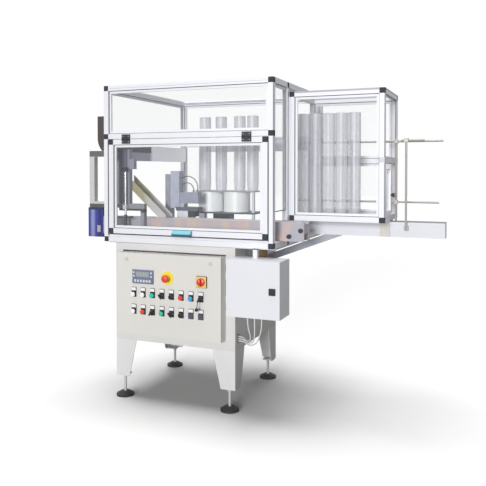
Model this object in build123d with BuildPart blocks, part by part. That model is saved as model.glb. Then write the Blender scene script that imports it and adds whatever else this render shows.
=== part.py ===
from build123d import *
import os
from math import atan2, degrees, hypot, radians, sin, tan

# Bottle filling machine on a sheet-metal base, with a framed guard, a cup magazine beside it
# and a bottle conveyor through it. Millimetres, X to the right along the front, Y to the back,
# Z up. The origin is on the floor, under the middle of the front left foot.

# Base
foot_inset_x = 44
foot_inset_y = 27
foot_height = 123
pad_diameter = 105
pad_height = 26
pad_top_diameter = 52
spindle_diameter = 16
nut_width = 24
nut_height = 13
leg_height = 218
leg_top_width = 138
leg_foot_width = 88
leg_sheet = 4
leg_chamfer = 14
leg_sole = 6
leg_sole_reach = 62
cabinet_width = 767
cabinet_depth = 676
cabinet_height = 571
cabinet_sheet = 3
cabinet_lip = 28
table_thickness = 10

# Guard of square tubes with panel fins
guard_left_overhang = 53
guard_right_overhang = 237
guard_front_overhang = 43
guard_rear_overhang = 274
guard_height = 913
guard_mid_height = 631
tube = 30
tube_wall = 2
tube_corner = 2
fin_reach = 16
fin_sheet = 2
pane = 4
pane_gap = 0.5
pane_edge = 4
seat_gap = 0.3
middle_post_setback = 237
outfeed_height = 198
cross_beam_height = 98
cross_beam_depth = 14
cross_beam_drop = 26

# Front flap
flap_side_gap = 3
flap_top_gap = 3
flap_bottom_gap = 20
flap_hinge_width = 56
flap_hinge_leaf = 22
flap_hinge_sheet = 4
flap_hinge_inset = 119
hinge_pin_diameter = 9
knuckle_gap = 0.6
leaf_gap = 5
handle_length = 116
handle_height = 40
handle_reach = 30
handle_offset = 8

# Magazine annex
annex_front_setback = 267
annex_width = 536
annex_depth = 441
annex_bottom_rise = 135
annex_height = 727
annex_mid_rise = 324
side_panel_depth = 190
side_panel_height = 316
side_panel_gap = 5

# Magazine conveyor
beam_front_setback = 443
beam_depth = 90
beam_height = 84
beam_top_gap = 6
beam_length = 890
beam_slot = 10
belt_thickness = 3
belt_edge = 6
bracket_sheet = 8
bracket_width = 55
rod_diameter = 12
rod_gap = 14
clamp_size = 22
stand_lead = 14
short_rod_lead = 30
short_rod_overreach = 188
upper_rod_rise = 455
lower_rod_rise = 108
upper_rod_overreach = 275
lower_rod_overreach = 255
stand_overreach = 92
cup_diameter = 74
cup_foot_diameter = 66
cup_stack_height = 620
cup_columns = 5
cup_pitch = 76
cup_stack_inset = 20
rod_lead_in = 10

# Bottle conveyor
lane_front = 123
lane_width = 110
lane_side = 12
lane_height = 104
lane_bottom_rise = 32
lane_left_reach = 197
lane_right_reach = 131
knob_end = 16
knob_middle = 82
knob_diameter = 24
knob_reach = 16
lane_foot = 60
lane_foot_inset = 150
chain_thickness = 6
chain_drop = 10

# Switch enclosure
enclosure_size = 300
enclosure_gap = 8
enclosure_front = 146
enclosure_body_depth = 140
enclosure_lid_depth = 20
enclosure_drop = 52
enclosure_sheet = 2

enclosure_lock_inset = 40
enclosure_lock_size = 36
enclosure_lock_reach = 7
enclosure_post = 25
enclosure_post_inset = 112
enclosure_post_setback = 85
brace_drop = 138
brace_width = 40
brace_seat = 328
beam_overreach = 297
overhang_setback = 160
overhang_height = 62
overhang_reach = 127

# Control panel door
panel_left = 52
panel_width = 658
panel_bottom_rise = 58
panel_height = 466
panel_depth = 65
panel_sheet = 2.5
lock_inset = 62
lock_height = 430
lock_diameter = 24
lock_reach = 4
display_x = 172
display_z = 333
display_width = 138
display_height = 80
display_reach = 9
stop_x = 329
stop_z = 335
stop_plate_diameter = 76
stop_plate_thickness = 3
stop_neck_diameter = 30
stop_reach = 24
stop_head_diameter = 44
stop_head_thickness = 18
switch_x = 544
switch_z = 327
switch_plate = 64
switch_thickness = 10
switch_knob_diameter = 46
switch_collar = 12
switch_grip = 14
switch_grip_reach = 16
button_rows = (231, 133)
button_columns = 8
button_x = 112
button_pitch = 61
button_bezel_diameter = 30
button_bezel_reach = 5
button_cap_diameter = 23
button_cap_reach = 10
button_label_rise = 30
button_label_width = 28
button_label_height = 18
button_label_thickness = 1

# Inside the guard
column_inset = 44.3
column_setback = 90
column_width = 73
column_plate = 32
column_height = 545
column_bottom = 190
column_block = 30
column_groove = 6
column_groove_depth = 3
shelf_width = 172
shelf_thickness = 12
shelf_leg = 24
feed_rod_diameter = 12
feed_rod_height = 280
feed_clamp = 24
feed_knob = 28
chute_width = 80
chute_side = 60
chute_sheet = 3
chute_run = 264
chute_slope = 0.886
chute_drop = 155
chute_clearance = 5
station_inset = 252
station_setback = 275
station_depth = 60
station_height = 395
station_post = 41
station_head = 60
station_foot = 185
valve_length = 125
valve_height = 68
hose_diameter = 6
drum_diameter = 172
drum_height = 124
drum_pitch = 175
drum_inset = 90
drum_rim = 10
drum_lip = 4
dispenser_rise = 292
dispenser_plate = 6
dispenser_base = 10
dispenser_inset = 380
dispenser_length = 415
dispenser_depth = 184
dispenser_post = 16
motor_inset = 144
motor_length = 102
motor_height = 40
motor_depth = 90
inner_stack_offsets = (48, 158, 284, 371)
inner_stack_height = 460

star_inset = 100
star_diameter = 92
star_thickness = 8
star_pockets = 8
star_pocket_diameter = 26
star_clearance = 3
star_rise = 2
star_shaft = 20

# Infeed tunnel
tunnel_reach = 205
tunnel_setback = 143
tunnel_depth = 36
tunnel_rim = 36
tunnel_bottom_rise = 190
tunnel_height = 348
deflector_width = 47
deflector_height = 212
deflector_sheet = 3
deflector_flange = 24
deflector_standoff = 97
guide_height = 179.7
guide_wall = 4
guide_drop = 22
guide_length = 106
notch_inset = 74
notch_rise = 28
notch_width = 28
notch_height = 42

# Cables
cable_diameter = 7
gland_diameter = 18
gland_height = 18
entry_thickness = 8
entry_width = 26
entry_height = 44
entry_setback = 28
entry_rise = 67
gland_setback = 63
gland_inset = 91
gland_pitch = 40

# Hinges of the control panel and the enclosure
panel_barrel = 10
panel_barrel_drop = 6
panel_barrel_reach = 60
lid_barrel = 7
lid_barrel_length = 42
lid_barrel_offset = 4
lid_barrel_side = 0.5
lid_hinge_depth = 16
lid_hinge_inset = 45

os.makedirs("parts", exist_ok=True)

cabinet_x0 = -foot_inset_x
cabinet_x1 = cabinet_x0 + cabinet_width
cabinet_y0 = -foot_inset_y
cabinet_y1 = cabinet_y0 + cabinet_depth
cabinet_z0 = foot_height + leg_height
cabinet_z1 = cabinet_z0 + cabinet_height
guard_x0 = cabinet_x0 - guard_left_overhang
guard_x1 = cabinet_x1 + guard_right_overhang
guard_y0 = cabinet_y0 - guard_front_overhang
guard_y1 = cabinet_y1 + guard_rear_overhang
guard_z0 = cabinet_z1 + table_thickness
guard_z1 = guard_z0 + guard_height
guard_mid_top = guard_z0 + guard_mid_height
guard_mid = guard_mid_top - tube
annex_x1 = guard_x1 + annex_width
annex_y0 = guard_y0 + annex_front_setback
annex_y1 = annex_y0 + annex_depth
annex_z0 = guard_z0 + annex_bottom_rise
annex_z1 = annex_z0 + annex_height
half_tube = tube / 2
fin_offset = (pane + fin_sheet) / 2 + pane_gap


def save(piece, name):
    """Label a finished piece and write its file."""
    piece.label = name
    export_step(piece, f"parts/{name}.step")


def framing_tube(start, end, fins, setback=seat_gap):
    """Square tube from start to end, with pairs of panel fins towards the given directions."""
    run = Vector(*end) - Vector(*start)
    along = run.normalized()
    across = Vector(0, 0, 1) if abs(along.Z) < 0.5 else Vector(1, 0, 0)
    plane = Plane(Vector(*start), x_dir=across, z_dir=along)
    with BuildPart() as result:
        with BuildSketch(plane):
            Rectangle(tube, tube)
            Rectangle(tube - 2 * tube_wall, tube - 2 * tube_wall, mode=Mode.SUBTRACT)
        extrude(amount=run.length)
        if fins:
            with BuildSketch(plane.offset(setback)):
                for fin in fins:
                    local = plane.to_local_coords(Vector(*start) + Vector(*fin))
                    with PolarLocations(half_tube + fin_reach / 2, 1, degrees(atan2(local.Y, local.X))):
                        with Locations((0, fin_offset), (0, -fin_offset)):
                            Rectangle(fin_reach, fin_sheet)
            extrude(amount=run.length - 2 * setback)
    return result.part


def block(low, high):
    """Plain rectangular piece between two corners."""
    size = Vector(*high) - Vector(*low)
    with BuildPart() as result:
        with BuildSketch(Plane.XY.offset(low[2])):
            with Locations(((low[0] + high[0]) / 2, (low[1] + high[1]) / 2)):
                Rectangle(size.X, size.Y)
        extrude(amount=size.Z)
    return result.part


def connector(x, y, z):
    """Corner cube with eased edges, whose low corner is at x, y, z."""
    with BuildPart() as result:
        with BuildSketch(Plane.XY.offset(z)):
            with Locations((x + half_tube, y + half_tube)):
                RectangleRounded(tube, tube, tube_corner)
        extrude(amount=tube)
    return result.part


UP, DOWN = (0, 0, 1), (0, 0, -1)
LEFT, RIGHT = (-1, 0, 0), (1, 0, 0)
FRONT, BACK = (0, -1, 0), (0, 1, 0)
fin_clear = fin_reach + seat_gap

# Legs: angle sections of sheet, tapered towards the floor, with a sole for the spindle
for side, corner_x, turn_x in (("left", cabinet_x0, 1), ("right", cabinet_x1, -1)):
    for end, corner_y, turn_y in (("front", cabinet_y0, 1), ("rear", cabinet_y1, -1)):
        with BuildPart() as leg:
            with BuildSketch(Plane((corner_x, corner_y, 0), x_dir=(turn_x, 0, 0), z_dir=(0, -turn_x, 0))):
                with BuildLine():
                    Polyline(
                        (0, cabinet_z0),
                        (leg_top_width, cabinet_z0),
                        (leg_foot_width, foot_height),
                        (0, foot_height),
                        close=True,
                    )
                make_face()
            extrude(amount=-leg_sheet * turn_x * turn_y)
            with BuildSketch(Plane((corner_x, corner_y, 0), x_dir=(0, turn_y, 0), z_dir=(turn_y, 0, 0))):
                with BuildLine():
                    Polyline(
                        (0, cabinet_z0),
                        (leg_top_width, cabinet_z0),
                        (leg_foot_width, foot_height + leg_chamfer),
                        (leg_foot_width - leg_chamfer, foot_height),
                        (0, foot_height),
                        close=True,
                    )
                make_face()
            extrude(amount=leg_sheet * turn_x * turn_y)
            with BuildSketch(Plane.XY.offset(foot_height)):
                with Locations(
                    (
                        corner_x + turn_x * (leg_sheet + leg_sole_reach) / 2,
                        corner_y + turn_y * (leg_sheet + leg_sole_reach) / 2,
                    )
                ):
                    Rectangle(leg_sole_reach + leg_sheet, leg_sole_reach + leg_sheet)
            extrude(amount=leg_sole)
        save(leg.part, f"leg_{end}_{side}")

feet = [
    (x, y)
    for x in (cabinet_x0 + foot_inset_x, cabinet_x1 - foot_inset_x)
    for y in (cabinet_y0 + foot_inset_y, cabinet_y1 - foot_inset_y)
]

with BuildPart() as foot_pads:
    with Locations([(x, y, 0) for x, y in feet]):
        Cylinder(pad_diameter / 2, pad_height * 0.45, align=(Align.CENTER, Align.CENTER, Align.MIN))
    with Locations([(x, y, pad_height * 0.45) for x, y in feet]):
        Cone(
            pad_diameter / 2,
            pad_top_diameter / 2,
            pad_height * 0.55,
            align=(Align.CENTER, Align.CENTER, Align.MIN),
        )
save(foot_pads.part, "foot_pads")

with BuildPart() as foot_spindles:
    with BuildSketch(Plane.XY.offset(pad_height)):
        with Locations(feet):
            Circle(spindle_diameter / 2)
    extrude(amount=foot_height - pad_height)
    with BuildSketch(Plane.XY.offset(foot_height - nut_height)):
        with Locations(feet):
            RegularPolygon(nut_width / 2, 6, major_radius=False)
    extrude(amount=nut_height)
save(foot_spindles.part, "foot_spindles")

# Cabinet: folded sheet box, open at the front behind the control panel door
cabinet_mid_x = (cabinet_x0 + cabinet_x1) / 2
cabinet_mid_y = (cabinet_y0 + cabinet_y1) / 2
panel_x0 = cabinet_x0 + panel_left
panel_x1 = panel_x0 + panel_width
panel_z0 = cabinet_z0 + panel_bottom_rise
panel_z1 = panel_z0 + panel_height
panel_mid_x = (panel_x0 + panel_x1) / 2
panel_mid_z = (panel_z0 + panel_z1) / 2
with BuildPart() as cabinet_body:
    with BuildSketch(Plane.XY.offset(cabinet_z0)):
        with Locations((cabinet_mid_x, cabinet_mid_y)):
            Rectangle(cabinet_width, cabinet_depth)
    extrude(amount=cabinet_height)
    with BuildSketch(Plane.XY.offset(cabinet_z0 + cabinet_sheet)):
        with Locations((cabinet_mid_x, cabinet_mid_y)):
            Rectangle(cabinet_width - 2 * cabinet_sheet, cabinet_depth - 2 * cabinet_sheet)
    extrude(amount=cabinet_height - 2 * cabinet_sheet, mode=Mode.SUBTRACT)
    with BuildSketch(Plane.XZ.offset(-cabinet_y0)):
        with Locations((panel_mid_x, panel_mid_z)):
            Rectangle(panel_width - 2 * cabinet_lip, panel_height - 2 * cabinet_lip)
    extrude(amount=-2 * cabinet_sheet, mode=Mode.SUBTRACT)
save(cabinet_body.part, "cabinet_body")

table = block((guard_x0 + 3, cabinet_y0, cabinet_z1), (guard_x1 - 3, guard_y1 - 3, guard_z0))
save(table, "table_plate")

# Guard frame
gx = (guard_x0, guard_x1 - tube)
gy = (guard_y0, guard_y1 - tube)
gz = (guard_z0, guard_mid, guard_z1 - tube)
post_y = guard_y0 + middle_post_setback
with BuildPart() as guard_connectors:
    for x in gx:
        for y in gy:
            for z in gz:
                add(connector(x, y, z))
    for z in (gz[0], gz[2]):
        add(connector(gx[1], post_y, z))
save(guard_connectors.part, "guard_connectors")

with BuildPart() as guard_tubes:
    for x in gx:
        inward_x = RIGHT if x == gx[0] else LEFT
        for y in gy:
            inward_y = BACK if y == gy[0] else FRONT
            cx, cy = x + half_tube, y + half_tube
            for low, high in ((gz[0], gz[1]), (gz[1], gz[2])):
                lower = low == gz[0]
                fins = [] if lower and x == gx[0] else [inward_y]
                if not (lower and y == gy[0]):
                    fins.append(inward_x)
                add(framing_tube((cx, cy, low + tube), (cx, cy, high), fins, fin_clear))
    for y in gy:
        cy = y + half_tube
        for z in gz:
            fins = {gz[0]: [UP], gz[1]: [UP, DOWN], gz[2]: [DOWN]}[z]
            if y == gy[0] and z == gz[1]:
                fins = [UP]
            if z == gz[2]:
                fins = fins + [BACK if y == gy[0] else FRONT]
            add(framing_tube((gx[0] + tube, cy, z + half_tube), (gx[1], cy, z + half_tube), fins))
    for x in gx:
        cx = x + half_tube
        for z in (gz[0], gz[2]):
            fins = {gz[0]: [], gz[2]: [DOWN]}[z]
            if x == gx[0]:
                add(framing_tube((cx, gy[0] + tube, z + half_tube), (cx, gy[1], z + half_tube), fins))
            else:
                add(framing_tube((cx, gy[0] + tube, z + half_tube), (cx, post_y, z + half_tube), fins))
                add(framing_tube((cx, post_y + tube, z + half_tube), (cx, gy[1], z + half_tube), fins))
    left_x = gx[0] + half_tube
    mid_z = gz[1] + half_tube
    add(framing_tube((left_x, gy[0] + tube, mid_z), (left_x, gy[1], mid_z), [UP]))
    right_x = gx[1] + half_tube
    outfeed_z = gz[0] + outfeed_height - pane_edge
    add(framing_tube((right_x, post_y + half_tube, gz[0] + tube), (right_x, post_y + half_tube, outfeed_z), []))
    add(framing_tube((right_x, post_y + half_tube, outfeed_z), (right_x, post_y + half_tube, gz[2]), [FRONT], fin_clear))
save(guard_tubes.part, "guard_tubes")

# Clear panels sit between the fins
with BuildPart() as guard_panels:
    front_y = gy[0] + half_tube
    rear_y = gy[1] + half_tube
    for y, low, high in (
        (front_y, gz[1] + tube, gz[2]),
        (rear_y, gz[1] + tube, gz[2]),
        (rear_y, gz[0] + tube, gz[1]),
    ):
        add(
            block(
                (gx[0] + tube + pane_edge, y - pane / 2, low + pane_edge),
                (gx[1] - pane_edge, y + pane / 2, high - pane_edge),
            )
        )
    add(
        block(
            (left_x - pane / 2, gy[0] + tube + pane_edge, gz[1] + tube + pane_edge),
            (left_x + pane / 2, gy[1] - pane_edge, gz[2] - pane_edge),
        )
    )
    add(
        block(
            (right_x - pane / 2, gy[0] + tube + pane_edge, gz[0] + outfeed_height),
            (right_x + pane / 2, post_y - pane_edge, gz[2] - pane_edge),
        )
    )
    top_z = gz[2] + half_tube
    add(
        block(
            (gx[0] + tube + pane_edge, gy[0] + tube + pane_edge, top_z - pane / 2),
            (gx[1] - pane_edge, gy[1] - pane_edge, top_z + pane / 2),
        )
    )
save(guard_panels.part, "guard_panels")

# Left cross beam inside the guard
cross_z1 = guard_mid - cross_beam_drop
save(
    block(
        (gx[0] + tube + seat_gap, gy[0] + tube + fin_clear, cross_z1 - cross_beam_height),
        (gx[0] + tube + cross_beam_depth, gy[1] - seat_gap, cross_z1),
    ),
    "cross_beam",
)

# Front flap: tubes with corner connectors, hinged along its top pane_edge
flap_x = (gx[0] + tube + flap_side_gap, gx[1] - flap_side_gap - tube)
flap_z = (gz[0] + tube + flap_bottom_gap, gz[1] - flap_top_gap - tube)
flap_y = gy[0]
with BuildPart() as flap_connectors:
    for x in flap_x:
        for z in flap_z:
            add(connector(x, flap_y, z))
save(flap_connectors.part, "flap_connectors")

with BuildPart() as flap_tubes:
    cy = flap_y + half_tube
    for z, fin in zip(flap_z, (UP, DOWN)):
        add(framing_tube((flap_x[0] + tube, cy, z + half_tube), (flap_x[1], cy, z + half_tube), [fin]))
    for x, fin in zip(flap_x, (RIGHT, LEFT)):
        cx = x + half_tube
        add(framing_tube((cx, cy, flap_z[0] + tube), (cx, cy, flap_z[1]), [fin], fin_clear))
save(flap_tubes.part, "flap_tubes")

save(
    block(
        (flap_x[0] + tube + pane_edge, flap_y + half_tube - pane / 2, flap_z[0] + tube + pane_edge),
        (flap_x[1] - pane_edge, flap_y + half_tube + pane / 2, flap_z[1] - pane_edge),
    ),
    "flap_window",
)

# Hinges: a leaf on the mid beam with a knuckle, and a leaf on the flap
hinge_z = gz[1] - flap_top_gap / 2
hinge_y = flap_y - seat_gap - hinge_pin_diameter / 2
hinge_x = (flap_x[0] + flap_hinge_inset, flap_x[1] + tube - flap_hinge_inset)


def hinge_leaf(x, direction, y=hinge_y, z=hinge_z):
    """Flat leaf with its share of the knuckle, up or down from the pin."""
    knuckle = flap_hinge_width / 3
    with BuildPart() as result:
        low = leaf_gap if direction > 0 else -leaf_gap - flap_hinge_leaf
        with BuildSketch(Plane.XY.offset(z + low)):
            with Locations((x, y + hinge_pin_diameter / 2 - flap_hinge_sheet / 2)):
                Rectangle(flap_hinge_width, flap_hinge_sheet)
        extrude(amount=flap_hinge_leaf)
        offsets = (0,) if direction > 0 else (-knuckle, knuckle)
        for offset in offsets:
            with BuildSketch(Plane.YZ.offset(x + offset - (knuckle - knuckle_gap) / 2)):
                with Locations((y, z)):
                    Circle(hinge_pin_diameter / 2)
                with Locations((y + hinge_pin_diameter / 4, z + direction * leaf_gap)):
                    Rectangle(hinge_pin_diameter / 2, 2 * leaf_gap)
            extrude(amount=knuckle - knuckle_gap)
    return result.part


with BuildPart() as flap_hinge_uppers:
    for x in hinge_x:
        add(hinge_leaf(x, 1))

with BuildPart() as flap_hinge_lowers:
    for x in hinge_x:
        add(hinge_leaf(x, -1))
save(flap_hinge_lowers.part, "flap_hinge_lowers")

# Bow handle on the flap's lower tube
handle_z0 = flap_z[0] + (tube - handle_height) / 2 - 4
handle_mid = (flap_x[0] + flap_x[1] + tube) / 2 - handle_offset
with BuildPart() as flap_handle:
    with BuildSketch(Plane.YZ.offset(handle_mid - handle_length / 2)):
        with BuildLine():
            Polyline(
                (flap_y - seat_gap, handle_z0 + handle_height),
                (flap_y - handle_reach * 0.5, handle_z0 + handle_height),
                (flap_y - handle_reach, handle_z0 + handle_height * 0.6),
                (flap_y - handle_reach, handle_z0 + handle_height * 0.15),
                (flap_y - handle_reach + 6, handle_z0 + handle_height * 0.15),
                (flap_y - handle_reach * 0.4, handle_z0 + handle_height * 0.75),
                (flap_y - seat_gap, handle_z0 + handle_height * 0.75),
                close=True,
            )
        make_face()
    extrude(amount=handle_length)
save(flap_handle.part, "flap_handle")

# Control panel door: a folded tray, hinged along its lower pane_edge
panel_hinge_y = cabinet_y0 - panel_barrel_drop
panel_hinge_z = panel_z0 - panel_barrel_drop
panel_hinge_xs = (panel_x0 + panel_width * 0.2, panel_x1 - panel_width * 0.2)


def barrel(x, length, top):
    """Hinge barrel under the panel, joined up to the tray or back to the cabinet."""
    radius = panel_barrel / 2
    with BuildPart() as result:
        with BuildSketch(Plane.YZ.offset(x - length / 2)):
            with Locations((panel_hinge_y, panel_hinge_z)):
                Circle(radius)
            if top is None:
                with Locations((panel_hinge_y + (panel_barrel_drop - seat_gap) / 2, panel_hinge_z)):
                    Rectangle(panel_barrel_drop - seat_gap, radius)
            else:
                with Locations((panel_hinge_y, (panel_hinge_z + top) / 2)):
                    Rectangle(radius, top - panel_hinge_z)
        extrude(amount=length)
    return result.part


with BuildPart() as control_panel_door:
    with BuildSketch(Plane.XZ.offset(-cabinet_y0 + seat_gap)):
        with Locations((panel_mid_x, panel_mid_z)):
            Rectangle(panel_width, panel_height)
    extrude(amount=panel_depth)
    with BuildSketch(Plane.XZ.offset(-cabinet_y0 + seat_gap)):
        with Locations((panel_mid_x, panel_mid_z)):
            Rectangle(panel_width - 2 * panel_sheet, panel_height - 2 * panel_sheet)
    extrude(amount=panel_depth - panel_sheet, mode=Mode.SUBTRACT)
    for x in panel_hinge_xs:
        add(barrel(x, panel_barrel_reach, panel_z0))
save(control_panel_door.part, "control_panel_door")

with BuildPart() as panel_hinge:
    for x in panel_hinge_xs:
        for offset in (-panel_barrel_reach, panel_barrel_reach):
            add(barrel(x + offset, panel_barrel_reach - 1, None))

panel_face = cabinet_y0 - seat_gap - panel_depth
face_plane = Plane.XZ.offset(-panel_face)


def on_panel(x, z):
    """Place on the panel's face, from its lower left corner."""
    return (panel_x0 + x, panel_z0 + z)


with BuildPart() as panel_locks:
    with BuildSketch(face_plane):
        with Locations([on_panel(x, lock_height) for x in (lock_inset, panel_width - lock_inset)]):
            Circle(lock_diameter / 2)
    extrude(amount=lock_reach)
save(panel_locks.part, "panel_locks")

with BuildPart() as display_unit:
    with BuildSketch(face_plane):
        with Locations(on_panel(display_x, display_z)):
            RectangleRounded(display_width, display_height, 5)
    extrude(amount=display_reach)
    with BuildSketch(face_plane.offset(display_reach)):
        with Locations(on_panel(display_x, display_z + display_height * 0.16)):
            Rectangle(display_width * 0.78, display_height * 0.4)
    extrude(amount=-2, mode=Mode.SUBTRACT)
    with BuildSketch(face_plane.offset(display_reach)):
        with Locations(on_panel(display_x, display_z - display_height * 0.27)):
            with GridLocations(display_width * 0.135, 1, 6, 1):
                Rectangle(display_width * 0.1, display_height * 0.18)
    extrude(amount=1.5)
save(display_unit.part, "display_unit")

with BuildPart() as emergency_stop:
    with BuildSketch(face_plane):
        with Locations(on_panel(stop_x, stop_z)):
            Circle(stop_plate_diameter / 2)
    extrude(amount=stop_plate_thickness)
    with BuildSketch(face_plane.offset(stop_plate_thickness)):
        with Locations(on_panel(stop_x, stop_z)):
            Circle(stop_neck_diameter / 2)
    extrude(amount=stop_reach)
    with BuildSketch(face_plane.offset(stop_reach)):
        with Locations(on_panel(stop_x, stop_z)):
            Circle(stop_head_diameter / 2)
    extrude(amount=stop_head_thickness, taper=12)
save(emergency_stop.part, "emergency_stop")

with BuildPart() as main_switch:
    with BuildSketch(face_plane):
        with Locations(on_panel(switch_x, switch_z)):
            RectangleRounded(switch_plate, switch_plate, 4)
    extrude(amount=switch_thickness)
    with BuildSketch(face_plane.offset(switch_thickness)):
        with Locations(on_panel(switch_x, switch_z)):
            Circle(switch_knob_diameter / 2)
    extrude(amount=switch_collar)
    with BuildSketch(face_plane.offset(switch_thickness + switch_collar)):
        with Locations(on_panel(switch_x, switch_z)):
            SlotOverall(switch_knob_diameter - switch_grip / 2, switch_grip, 90)
    extrude(amount=switch_grip_reach)
save(main_switch.part, "main_switch")

with BuildPart() as push_buttons:
    for row, row_z in enumerate(button_rows):
        for column in range(button_columns):
            spot = on_panel(button_x + column * button_pitch, row_z)
            with BuildSketch(face_plane):
                with Locations(spot):
                    Circle(button_bezel_diameter / 2)
            extrude(amount=button_bezel_reach)
            with BuildSketch(face_plane.offset(button_bezel_reach)):
                with Locations(spot):
                    Circle(button_cap_diameter / 2)
            extrude(amount=button_cap_reach)
            with BuildSketch(face_plane):
                with Locations((spot[0], spot[1] + button_label_rise)):
                    Rectangle(button_label_width, button_label_height)
            extrude(amount=button_label_thickness)
save(push_buttons.part, "push_buttons")

# Switch enclosure with a hinged lid, hung from the guard by a square post
box_x0 = cabinet_x1 + enclosure_gap
box_y0 = cabinet_y0 - enclosure_front + enclosure_lid_depth + seat_gap
box_z1 = cabinet_z1 - enclosure_drop + table_thickness
box_z0 = box_z1 - enclosure_size
box_mid_x = box_x0 + enclosure_size / 2
box_mid_z = (box_z0 + box_z1) / 2
with BuildPart() as enclosure_body:
    with BuildSketch(Plane.XZ.offset(-box_y0 - enclosure_body_depth)):
        with Locations((box_mid_x, box_mid_z)):
            Rectangle(enclosure_size, enclosure_size)
    extrude(amount=enclosure_body_depth)
    with BuildSketch(Plane.XZ.offset(-box_y0 - enclosure_body_depth + enclosure_sheet)):
        with Locations((box_mid_x, box_mid_z)):
            Rectangle(enclosure_size - 2 * enclosure_sheet, enclosure_size - 2 * enclosure_sheet)
    extrude(amount=enclosure_body_depth, mode=Mode.SUBTRACT)
save(enclosure_body.part, "enclosure_body")

lid_y = box_y0 - seat_gap
lid_hinge_x = box_x0 - lid_barrel_side - lid_barrel / 2
lid_hinge_y = lid_y - lid_barrel_offset
lid_hinge_zs = (box_z0 + lid_hinge_inset + lid_barrel_length, box_z1 - lid_hinge_inset - lid_barrel_length)


def lid_barrel_piece(z, side):
    """Hinge barrel beside the lid, joined to the lid in front or to the body behind."""
    radius = lid_barrel / 2
    reach = lid_hinge_depth if side > 0 else lid_barrel
    with BuildPart() as result:
        with BuildSketch(Plane.XY.offset(z - lid_barrel_length / 2 + knuckle_gap / 2)):
            with Locations((lid_hinge_x, lid_hinge_y)):
                Circle(radius)
            with Locations(((lid_hinge_x + box_x0) / 2, lid_hinge_y)):
                if side < 0:
                    Rectangle(box_x0 - lid_hinge_x, radius)
            if side > 0:
                with Locations((lid_hinge_x, lid_hinge_y + reach / 2)):
                    Rectangle(radius, reach)
                with Locations(((lid_hinge_x + box_x0 - seat_gap) / 2, lid_hinge_y + reach - radius / 2)):
                    Rectangle(box_x0 - seat_gap - lid_hinge_x, radius)
        extrude(amount=lid_barrel_length - knuckle_gap)
    return result.part


with BuildPart() as enclosure_door:
    with BuildSketch(Plane.XZ.offset(-lid_y)):
        with Locations((box_mid_x, box_mid_z)):
            Rectangle(enclosure_size, enclosure_size)
    extrude(amount=enclosure_lid_depth)
    fillet(enclosure_door.edges().filter_by(Axis.Z).group_by(Axis.Y)[0], 2)
    for z in lid_hinge_zs:
        add(lid_barrel_piece(z, -1))
save(enclosure_door.part, "enclosure_door")

with BuildPart() as fixed_hinges:
    add(flap_hinge_uppers.part)
    add(panel_hinge.part)
    for z in lid_hinge_zs:
        for offset in (-lid_barrel_length, lid_barrel_length):
            add(lid_barrel_piece(z + offset, 1))
save(fixed_hinges.part, "fixed_hinges")

with BuildPart() as enclosure_lock:
    with BuildSketch(Plane.XZ.offset(-lid_y + enclosure_lid_depth)):
        with Locations((box_x0 + enclosure_size - enclosure_lock_inset, box_mid_z - 5)):
            RectangleRounded(enclosure_lock_size, enclosure_lock_size, 4)
    extrude(amount=enclosure_lock_reach)
save(enclosure_lock.part, "enclosure_lock")

post_x = box_x0 + enclosure_post_inset
post_y0 = box_y0 + enclosure_post_setback
save(
    block((post_x, post_y0, box_z1), (post_x + enclosure_post, post_y0 + enclosure_post, guard_z0)),
    "enclosure_post",
)

# Bracket on the cabinet's side that carries the overhanging table plate
with BuildPart() as overhang_bracket:
    bracket_x0 = cabinet_x1 + seat_gap
    bracket_z1 = cabinet_z1 - seat_gap
    add(
        block(
            (bracket_x0, cabinet_y0 + overhang_setback, bracket_z1 - overhang_height),
            (bracket_x0 + overhang_reach, cabinet_y0 + overhang_setback + bracket_sheet, bracket_z1),
        )
    )
    add(
        block(
            (bracket_x0 + overhang_reach - bracket_width, cabinet_y0 + overhang_setback - 20, bracket_z1 - bracket_width),
            (bracket_x0 + overhang_reach, cabinet_y0 + overhang_setback, bracket_z1),
        )
    )
save(overhang_bracket.part, "overhang_bracket")

# Diagonal brace from the cabinet's side up to the magazine conveyor
beam_x0 = guard_x1 + annex_width - beam_length + beam_overreach
beam_x1 = beam_x0 + beam_length
beam_y0 = guard_y0 + beam_front_setback
beam_z1 = annex_z0 - beam_top_gap
beam_z0 = beam_z1 - beam_height
brace_y = beam_y0 + beam_depth / 2
brace_low = Vector(cabinet_x1 + seat_gap, brace_y, cabinet_z1 - brace_drop)
brace_high = Vector(beam_x0 + brace_seat, brace_y, beam_z0 - seat_gap)
rise = atan2(brace_high.Z - brace_low.Z, brace_high.X - brace_low.X)
with BuildPart() as support_brace:
    with BuildSketch(Plane.XZ.offset(-brace_y - brace_width / 2)):
        with BuildLine():
            Polyline(
                (brace_low.X, brace_low.Z),
                (brace_high.X, brace_high.Z),
                (brace_high.X - brace_width / sin(rise), brace_high.Z),
                (brace_low.X, brace_low.Z + brace_width / sin(radians(90) - rise)),
                close=True,
            )
        make_face()
    extrude(amount=brace_width)
save(support_brace.part, "support_brace")

# Magazine annex beside the guard
ax = (guard_x1 + seat_gap, annex_x1 - tube)
ay = (annex_y0, annex_y1 - tube)
az = (annex_z0, annex_z1 - tube)
annex_mid = annex_z0 + annex_mid_rise
with BuildPart() as annex_connectors:
    for x in ax:
        for y in ay:
            for z in az:
                add(connector(x, y, z))
    add(connector(ax[1], ay[0], annex_mid))
    add(connector(ax[1], ay[1], annex_mid))
    add(connector(ax[0], ay[1], annex_mid))
save(annex_connectors.part, "annex_connectors")

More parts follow.
